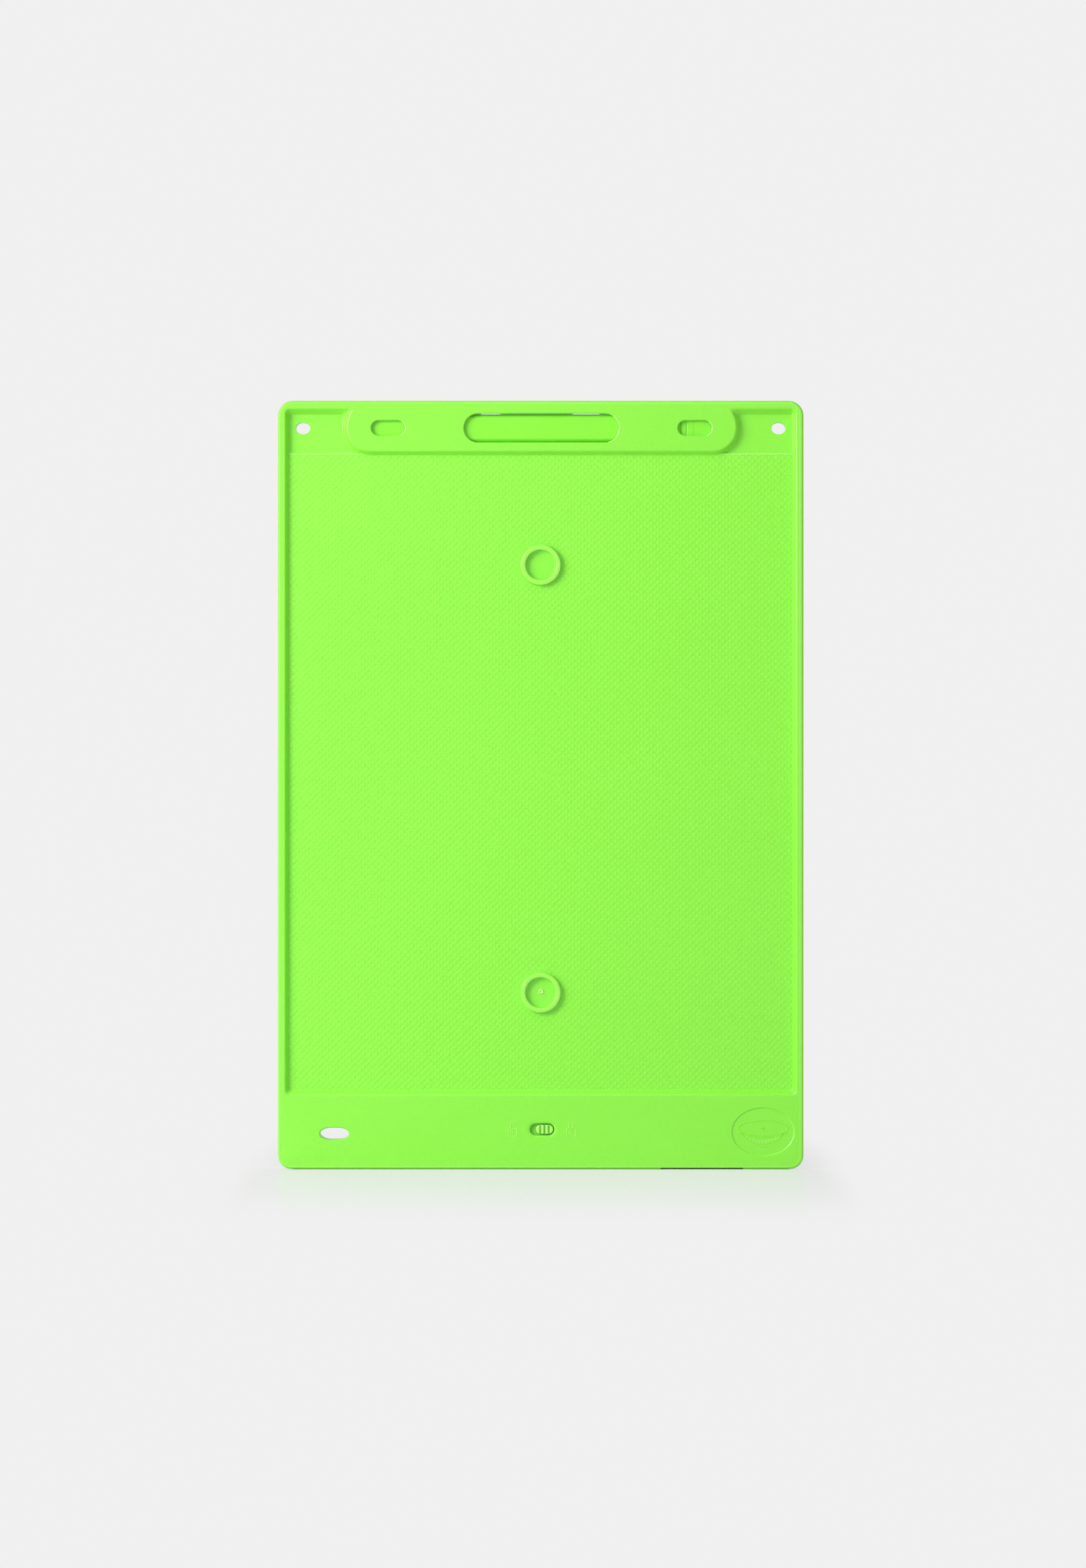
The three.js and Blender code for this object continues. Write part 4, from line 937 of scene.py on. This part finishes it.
@dataclass
class Signs(Detail):
    """The plain moulded signs of the lower band: two padlocks and the coin cell's pictogram.

    Sizes are millimetres. Pairs belong to the open padlock at the left and the closed one.
    """

    band_y: float = -3.0
    recess_y: float = -2.75
    lock_x: Point = (-9.04, 9.9)
    lock_width: Point = (2.8, 2.9)
    lock_base: float = 10.6
    lock_height: float = 2.45
    lock_corner: float = 0.35
    lock_line: float = 0.4
    lock_rise: float = 0.085
    shackle_shift: Point = (-0.02, -0.09)
    shackle_width: float = 1.4
    shackle_rise: float = 2.2
    shackle_gap: float = 0.3
    keyhole_shift: Point = (-0.25, 0.1)
    keyhole_size: Point = (0.7, 1.05)
    keyhole_corner: float = 0.15
    cell_x: float = 71.9
    cell_z: float = 13.2
    cell_half: Point = (7.95, 2.5)
    cell_edge: float = 0.5
    cell_side: tuple[float, float, float, float] = (-0.1, -1.0, 6.55, 4.05)
    cell_line: float = 0.3
    cell_rise: float = 0.08
    plus_half: float = 0.85
    minus: tuple[float, float, float, float] = (-0.9, 1.3, -5.85, 0.6)
    hatch_count: int = 11
    hatch_shift: Point = (-0.05, -4.35)
    hatch_half: float = 5.1
    hatch_drop: float = 1.55
    hatch_stroke: Place = (0.5, 0.12, 1.45)
    hatch_lean: float = math.radians(22.0)

    def padlock(self, name: str, place: int) -> None:
        """Build one padlock sign. The first one's shackle has a free leg.

        Args:
            name: The piece's name.
            place: 0 for the open padlock at the left, 1 for the closed one.
        """
        x, base = self.lock_x[place], self.lock_base
        half, top = self.lock_width[place] / 2, base + self.lock_height
        bold = {"face": self.band_y, "width": self.lock_line, "rise": self.lock_rise}
        body = rounded_box(x - half, base, x + half, top, self.lock_corner)
        wide, tall = self.keyhole_size[0] / 2, self.keyhole_size[1] / 2
        slot, middle = x + self.keyhole_shift[0], (base + top) / 2 + self.keyhole_shift[1]
        inner = rounded_box(slot - wide, middle - tall, slot + wide, middle + tall, self.keyhole_corner)
        crest, arch = x + self.shackle_shift[place], self.shackle_width / 2
        knee = top + self.shackle_rise - arch
        foot = knee - self.shackle_gap if place == 0 else top
        loop = oval((crest, knee), (arch, arch), 0.0, 180.0, 12)
        shackle = [(crest + arch, foot), *loop, (crest - arch, top)]
        lines = [RaisedLine(body, closed=True, **bold),
                 RaisedLine(inner, self.band_y, rise=self.lock_rise, closed=True),
                 RaisedLine(shackle, **bold)]
        # The padlock lines take the paler green of a painted highlight on their relief.
        self.rack.lines(name, lines, self.rack.edge)

    def pictogram(self) -> None:
        """Build the coin cell's face, edge and side, with its plus and minus."""
        x, z = self.cell_x, self.cell_z
        thin = {"face": self.recess_y, "width": self.cell_line, "rise": self.cell_rise}
        shift_x, shift_z, *side = self.cell_side
        left, right, below, width = self.minus
        arm = self.plus_half
        lines = [RaisedLine(oval((x, z), self.cell_half), closed=True, **thin)]
        lines += [RaisedLine(path, **thin) for path in (
            oval((x, z - self.cell_edge), self.cell_half, 190.0, 350.0, 32),
            oval((x + shift_x, z + shift_z), side, 186.0, 354.0, 32),
            [(x - arm, z), (x + arm, z)], [(x, z - arm), (x, z + arm)])]
        thin["width"] = width
        lines.append(RaisedLine([(x + left, z + below), (x + right, z + below)], **thin))
        self.rack.lines("sign_cell", lines, self.rack.gloss)

    def hatch(self) -> None:
        """Lay the slanted strokes of the cell's side along a sagging line."""
        shift_x, shift_z = self.hatch_shift
        stroke, rise, length = self.hatch_stroke
        sizes = {"centre_x": self.cell_x + shift_x, "centre_z": self.cell_z + shift_z,
                 "half_width": self.hatch_half, "drop": self.hatch_drop, "face": self.recess_y,
                 "stroke": stroke, "length": length, "rise": rise}
        values = {**metres(sizes), "Lean": self.hatch_lean, "Count": self.hatch_count}
        # The strokes take the paler green of a painted highlight on their relief.
        maker = Generator("sign_hatch", values, self.rack, self.rack.edge)
        given = maker.given
        ends = [maker.point(maker.times(given["Half Width"], sign)) for sign in (-1.0, 1.0)]
        line = maker.row(*ends, mode="END_POINTS")
        x = maker.spot()[0]
        across = maker.maths("DIVIDE", x, given["Half Width"])
        curve = maker.times(maker.times(across, across), given["Drop"])
        bent = maker.move(line, maker.point(maker.add(x, given["Centre X"]), given["Face"],
                                            maker.add(curve, given["Centre Z"])))
        block = maker.block(given["Stroke"], given["Rise"], given["Length"])
        maker.build(maker.copies(bent, block, maker.point(0.0, given["Lean"])))

    def build(self) -> None:
        """Build all the signs."""
        self.padlock("sign_unlocked", 0)
        self.padlock("sign_locked", 1)
        self.pictogram()
        self.hatch()


@dataclass
class EdgeHighlights(Detail):
    """The fine light lines on edges of the back cover: thin raised lines coloured pale green, painted
    highlights of the rounded edges.

    They are on the lips where the grip panel rises above the pockets beside the stylus tab, the
    rings' crowns, the beads at the right ends of the tab's windows, and the line where the
    flat face turns into its rounded edge. Sizes are millimetres. A section is a line's width, its
    rise over the face and its depth below it.
    """

    panel_face: float = -1.0
    lip_z: float = 231.38
    lip_outer: float = 81.6
    lip_inner: Point = (-57.6, 58.4)
    lip_section: Place = (0.38, 0.09, 0.03)
    ring_face: float = -2.6
    ring_radius: float = 5.7
    ring_heights: Point = (57.05, 195.4)
    crown_section: Place = (1.35, 0.1, 0.3)
    ring_steps: int = 96
    tab_face: float = -3.0
    tab_x: float = 0.3
    window_z: float = 239.65
    windows: tuple[Place, ...] = ((-49.6, 11.0, 4.85), (0.0, 50.2, 9.35), (49.6, 11.0, 4.85))
    bead_overlap: float = 0.12
    bead_turn: Point = (-75.0, 55.0)
    bead_section: Place = (0.36, 0.04, 0.35)
    bead_steps: int = 24
    rim: tuple[float, float, float, float] = (-84.35, 0.75, 83.9, 247.55)
    rim_radius: float = 3.9
    rim_section: Place = (0.34, 0.025, 0.2)
    rim_steps: int = 12

    def build(self) -> None:
        """Build the lips, crowns, beads and rim line that paint the edge highlights."""
        rack, radius = self.rack, self.ring_radius
        spans = ((-self.lip_outer, self.lip_inner[0]), (self.lip_inner[1], self.lip_outer))
        lips = [RaisedLine([(start, self.lip_z), (end, self.lip_z)], self.panel_face, *self.lip_section)
                for start, end in spans]
        circles = [oval((0.0, z), (radius, radius), steps=self.ring_steps) for z in self.ring_heights]
        crowns = [RaisedLine(circle, self.ring_face, *self.crown_section, True) for circle in circles]
        beads = []
        for offset, length, height in self.windows:
            end, reach = self.tab_x + offset + (length - height) / 2, height / 2 + self.bead_overlap
            arc = oval((end, self.window_z), (reach, reach), *self.bead_turn, self.bead_steps)
            beads.append(RaisedLine(arc, self.tab_face, *self.bead_section))
        outline = rounded_box(*self.rim, self.rim_radius, self.rim_steps)
        rim = RaisedLine(outline, self.tab_face, *self.rim_section, True)
        # Each of these thin raised lines is coloured pale green as a painted highlight on an edge.
        rack.lines("step_lip_highlights", lips, rack.bright)
        rack.lines("ring_crown_highlights", crowns, rack.edge)
        rack.lines("window_bead_highlights", beads, rack.bright)
        rack.lines("rim_highlight", [rim], rack.edge)


@dataclass
class GateNub(Detail):
    """The small shiny stub that the moulding gate leaves inside the lower ring.

    Sizes are millimetres. The profile is radius and height.
    """

    x: float = 0.15
    z: float = 57.4
    face: float = -1.0
    profile: tuple[Point, ...] = ((0.0, 0.04), (0.25, 0.05), (0.45, 0.24), (0.62, 0.34), (0.78, 0.27),
                                  (0.88, 0.0), (0.9, -0.05))
    steps: int = 32
    lobe: float = 0.07

    def build(self) -> None:
        """Build the stub: a cratered button, slightly three-cornered."""
        work = bmesh.new()
        centre = work.verts.new((self.x * MM, (self.face - self.profile[0][1]) * MM, self.z * MM))
        rings = []
        for radius, rise in self.profile[1:]:
            ring = []
            for i in range(self.steps):
                angle = 2 * math.pi * i / self.steps
                reach = radius * (1 + self.lobe * math.cos(3 * angle + math.pi / 2))
                x, z = self.x + reach * math.cos(angle), self.z + reach * math.sin(angle)
                ring.append(work.verts.new((x * MM, (self.face - rise) * MM, z * MM)))
            rings.append(ring)
        for i in range(self.steps):
            j = (i + 1) % self.steps
            work.faces.new((centre, rings[0][i], rings[0][j]))
            for inner, outer in zip(rings, rings[1:]):
                work.faces.new((inner[i], outer[i], outer[j], inner[j]))
        work.faces.new(rings[-1])
        # The stub's pale green is a painted highlight; its gloss is real.
        for face in self.rack.moulding("gate_nub", work, self.rack.bright).data.polygons:
            face.use_smooth = True


@dataclass
class Assembly(Detail):
    """A sub-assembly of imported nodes, each with its finish and the width of its rounded edges."""

    softener: EdgeSoftener
    parts: Parts = ()

    def build(self) -> None:
        """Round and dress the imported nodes."""
        for name, finish, width in self.parts:
            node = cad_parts[name]
            self.softener.soften(node, width)
            self.rack.dress(node, finish)
            LOG.info("%s: %s", name, finish.name)


@dataclass
class Case(Assembly):
    """The two green mouldings, the grip pads, what is moulded on them and the lines that paint highlights
    on their edges.
    """

    parts: Parts = (("back_cover", FinishRack.shell, 0.0002), ("front_bezel", FinishRack.shell, 0.0002))

    def build(self) -> None:
        """Dress the mouldings and add their details."""
        super().build()
        for detail in (GripPanel, EdgeHighlights, Signs, GateNub):
            detail(self.rack).build()


@dataclass
class Display(Assembly):
    """The writing film, its board, its tapes and its ribbon."""

    parts: Parts = (
        ("lcd_film", FinishRack.film, 0.00003), ("backing_board", FinishRack.black, 0.00003),
        ("lcd_flex", FinishRack.ribbon, 0.00003),
        *(("film_tape_" + side, FinishRack.tape, 0.00003) for side in ("left", "right", "bottom", "top")))


@dataclass
class Stylus(Assembly):
    """The stylus: barrel, nose and nib."""

    parts: Parts = (("stylus_barrel", FinishRack.gloss, 0.0), ("stylus_nose", FinishRack.gloss, 0.0),
                    ("stylus_nib", FinishRack.black, 0.0))


@dataclass
class Controls(Assembly):
    """The lock slider with its switch, and the erase button with its switch."""

    parts: Parts = (
        ("lock_slider", FinishRack.slider, 0.00008), ("erase_button", FinishRack.gloss, 0.00008),
        ("slide_switch_body", FinishRack.steel, 0.00008), ("slide_switch_lever", FinishRack.black, 0.00008),
        ("tact_switch_body", FinishRack.steel, 0.00006), ("tact_switch_plunger", FinishRack.black, 0.00004))


@dataclass
class Battery(Assembly):
    """The coin cell and the tray that carries it."""

    parts: Parts = (("battery_tray", FinishRack.gloss, 0.0001), ("coin_cell", FinishRack.cell, 0.00005))


@dataclass
class Electronics(Assembly):
    """The circuit board, what is soldered to it, and the cell's two contacts.

    Sizes of pins and wire are millimetres.
    """

    parts: Parts = (
        ("circuit_board", FinishRack.laminate, 0.00005), ("controller_chip", FinishRack.black, 0.00008),
        ("boost_inductor", FinishRack.ferrite, 0.00005), ("rectifier_diode", FinishRack.black, 0.00008),
        ("storage_capacitor", FinishRack.ceramic, 0.00008), ("timing_resistor", FinishRack.black, 0.00005),
        ("battery_contact_negative", FinishRack.steel, 0.00003),
        ("battery_contact_positive", FinishRack.steel, 0.00003))
    pin_pitch: float = 1.27
    pin_size: Place = (0.9, 0.2, 0.4)
    pins_to_a_side: int = 3
    winding_turns: int = 5
    winding_radius: float = 1.95
    winding_sides: int = 40
    wire_radius: float = 0.065
    wire_sides: int = 8

    def pins(self) -> None:
        """Lay the chip's pins, as straight blocks, along both of its sides, by geometry nodes."""
        low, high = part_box("controller_chip")
        reach, thickness, width = self.pin_size
        sizes = {"width": width, "reach": reach, "thickness": thickness, "pitch": self.pin_pitch}
        values = {"Left": low.x, "Right": high.x, "Middle": (low.z + high.z) / 2, "Board": high.y,
                  **metres(sizes), "Count": self.pins_to_a_side}
        maker = Generator("chip_pins", values, self.rack, self.rack.solder)
        given = maker.given
        joined = maker.node("GeometryNodeJoinGeometry")
        lift = maker.times(given["Thickness"], -0.5)
        rest = maker.times(maker.less(given["Count"], 1.0), -0.5)
        for label, sign in (("Left", -1.0), ("Right", 1.0)):
            start = maker.point(maker.add(given[label], maker.times(given["Reach"], 0.5 * sign)),
                                maker.add(given["Board"], lift),
                                maker.maths("MULTIPLY_ADD", rest, given["Pitch"], given["Middle"]))
            maker.feed(joined.inputs[0], maker.row(start, maker.point(0.0, 0.0, given["Pitch"])))
        pin = maker.block(given["Reach"], given["Thickness"], given["Width"])
        maker.build(maker.copies(joined.outputs[0], pin, (0.0, 0.0, 0.0)))

    def winding(self) -> None:
        """Stack the rings of wire in the coil's waist, by geometry nodes."""
        low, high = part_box("boost_inductor")
        wire = self.wire_radius
        span = (self.winding_turns - 1) * 2 * wire
        start = ((low.x + high.x) / 2, (low.y + high.y) / 2 - span / 2 * MM, (low.z + high.z) / 2)
        values = {"Radius": self.winding_radius * MM, "Wire": wire * MM, "Start": start,
                  "Step": (0.0, 2 * wire * MM, 0.0), "Count": self.winding_turns}
        maker = Generator("coil_winding", values, self.rack, self.rack.copper)
        given = maker.given
        circles = {}
        for use, sides, label in (("Curve", self.winding_sides, "Radius"),
                                  ("Profile Curve", self.wire_sides, "Wire")):
            circle = {"Resolution": sides, "Radius": given[label]}
            circles[use] = maker.out("GeometryNodeCurvePrimitiveCircle", circle, mode="RADIUS")
        ring = maker.out("GeometryNodeCurveToMesh", circles)
        maker.build(maker.copies(maker.row(given["Start"], given["Step"]), ring, (QUARTER, 0, 0)))

    def build(self) -> None:
        """Dress the board's pieces and add pins and winding."""
        super().build()
        self.pins()
        self.winding()


@dataclass(frozen=True)
class Lamp:
    """A soft square lamp: its power in watts, its side and its place in metres."""

    name: str
    watts: float
    side: float
    place: Place
    mirrored: bool = True

    def hang(self, target: Place) -> None:
        """Place the lamp so that it faces a target.

        Args:
            target: The point that it faces.
        """
        data = bpy.data.lights.new(self.name, "AREA")
        data.energy = self.watts
        data.shape = "SQUARE"
        data.size = self.side
        lamp = placed(self.name, data)
        lamp.location = self.place
        lamp.visible_glossy = self.mirrored
        aim = Vector(target) - Vector(self.place)
        lamp.rotation_euler = aim.to_track_quat("-Z", "Y").to_euler()


@dataclass
class Studio:
    """The pale floor, the soft lamps, the world and the camera. Sizes are in metres."""

    lamps: tuple[Lamp, ...] = (Lamp("key", 9.3, 0.62, (-0.851, -0.6785, 0.494)),
                               Lamp("spot", 1.6, 0.14, (-0.748, -0.682, 0.549)),
                               Lamp("top", 1.2, 0.4, (-0.1, -0.62, 1.05)),
                               Lamp("fill", 16.0, 1.4, (-0.9, 1.9, 1.5), mirrored=False))
    target: Place = (0.0, 0.0, 0.12)
    backdrop: float = 0.871
    world_light: float = 0.5
    mirrored_world: float = 0.3
    floor_size: float = 14.0
    floor_parts: int = 28
    floor_drop: float = 0.00002
    floor_albedo: float = 0.7
    floor_roughness: float = 0.22
    half_width: float = 0.085
    half_depth: float = 0.003
    side_fade: float = 13.0
    contact_ends: Point = (0.0795, 0.0815)
    contact_reach: float = 0.0008
    shadow_reach: float = 0.22
    shadow_share: float = 0.22
    mirror_reach: float = 0.2
    mirror_share: float = 0.14
    mirror_edge: float = 0.004
    image_height: float = 0.5069
    sensor: float = 36.0
    camera_distance: float = 1.5
    camera_x: float = 0.00073
    camera_z: float = 0.12454
    camera_end: float = 60.0
    face_y: float = -0.003

    def camera(self) -> None:
        """Place the level camera so that the back fills the frame as in the photograph."""
        data = bpy.data.cameras.new("camera")
        data.sensor_width = self.sensor
        data.lens = data.sensor_width * self.camera_distance / self.image_height
        data.clip_end = self.camera_end
        camera = placed("camera", data)
        camera.location = (self.camera_x, self.face_y - self.camera_distance, self.camera_z)
        camera.rotation_euler = (QUARTER, 0, 0)
        bpy.context.scene.camera = camera

    def world(self) -> None:
        """Light the scene evenly, and show the backdrop's tone to the camera and in reflections."""
        world = bpy.data.worlds.new("studio")
        sheet = NodeSheet(emptied(world))
        path = sheet.node("ShaderNodeLightPath").outputs
        seen = sheet.maths("MULTIPLY_ADD", path["Is Glossy Ray"], self.mirrored_world,
                           path["Is Camera Ray"])
        seen = sheet.maths("ADD", seen, path["Is Transmission Ray"], clamp=True)
        strength = sheet.maths("MULTIPLY_ADD", seen, self.backdrop - self.world_light, self.world_light)
        back = sheet.out("ShaderNodeBackground", {"Color": rgba((1.0, 1.0, 1.0)), "Strength": strength})
        sheet.node("ShaderNodeOutputWorld", {"Surface": back})
        bpy.context.scene.world = world

    def floor_material(self) -> bpy.types.Material:
        """Build the floor's finish: the backdrop's tone, the tablet's shadow and a faint reflection.

        Returns:
            The new material.
        """
        material = bpy.data.materials.new("studio_floor")
        sheet = NodeSheet(emptied(material))
        x, y, _ = sheet.split(sheet.node("ShaderNodeTexCoord").outputs["Object"])
        side = sheet.maths("MAXIMUM", sheet.less(sheet.size(x), self.half_width), 0.0)
        depth = sheet.maths("MAXIMUM", sheet.less(sheet.size(y), self.half_depth), 0.0)
        away = sheet.reach(sheet.times(side, self.side_fade), depth)
        glow = sheet.out("ShaderNodeEmission", {"Color": rgba((self.backdrop,) * 3)})
        lit = sheet.out("ShaderNodeBsdfDiffuse", {"Color": rgba((self.floor_albedo,) * 3)})
        gloss = sheet.out("ShaderNodeBsdfGlossy", {"Color": rgba((1.0,) * 3),
                                                   "Roughness": self.floor_roughness})
        near = sheet.times(sheet.spread(away, 0.0, self.contact_reach, 1.0, 0.0),
                           sheet.spread(sheet.size(x), *self.contact_ends, 1.0, 0.0))
        shadow = sheet.spread(away, 0.0, self.shadow_reach, self.shadow_share, 0.0)
        plain = sheet.out("ShaderNodeMixShader", {0: sheet.maths("MAXIMUM", near, shadow), 1: glow, 2: lit})
        mirror = sheet.times(sheet.spread(away, 0.0, self.mirror_reach, self.mirror_share, 0.0),
                             sheet.spread(y, -self.mirror_edge, self.mirror_edge, 1.0, 0.0))
        shiny = sheet.out("ShaderNodeMixShader", {0: mirror, 1: plain, 2: gloss})
        path = sheet.node("ShaderNodeLightPath").outputs
        seen = sheet.maths("ADD", path["Is Camera Ray"], path["Is Glossy Ray"], clamp=True)
        chosen = sheet.out("ShaderNodeMixShader", {0: seen, 1: lit, 2: shiny})
        sheet.node("ShaderNodeOutputMaterial", {"Surface": chosen})
        return material

    def floor(self) -> None:
        """Lay the floor under the tablet."""
        work = bmesh.new()
        bmesh.ops.create_grid(work, x_segments=self.floor_parts, y_segments=self.floor_parts,
                              size=self.floor_size / 2,
                              matrix=Matrix.Translation((0.0, 0.0, -self.floor_drop)))
        mesh = bpy.data.meshes.new("studio_floor")
        work.to_mesh(mesh)
        work.free()
        mesh.materials.append(self.floor_material())
        floor = placed("studio_floor", mesh)

    def build(self) -> None:
        """Set up the studio."""
        self.floor()
        for lamp in self.lamps:
            lamp.hang(self.target)
        self.world()
        self.camera()
        bpy.context.scene.view_settings.view_transform = "Standard"
        LOG.info("studio ready")


def main() -> None:
    """Dress the tablet and set up the studio."""
    logging.basicConfig(level=logging.INFO, format="%(name)s: %(message)s")
    rack = FinishRack()
    softener = EdgeSoftener()
    for assembly in (Case, Display, Stylus, Controls, Electronics, Battery):
        assembly(rack, softener).build()
    Studio().build()


if __name__ == "__main__":
    main()
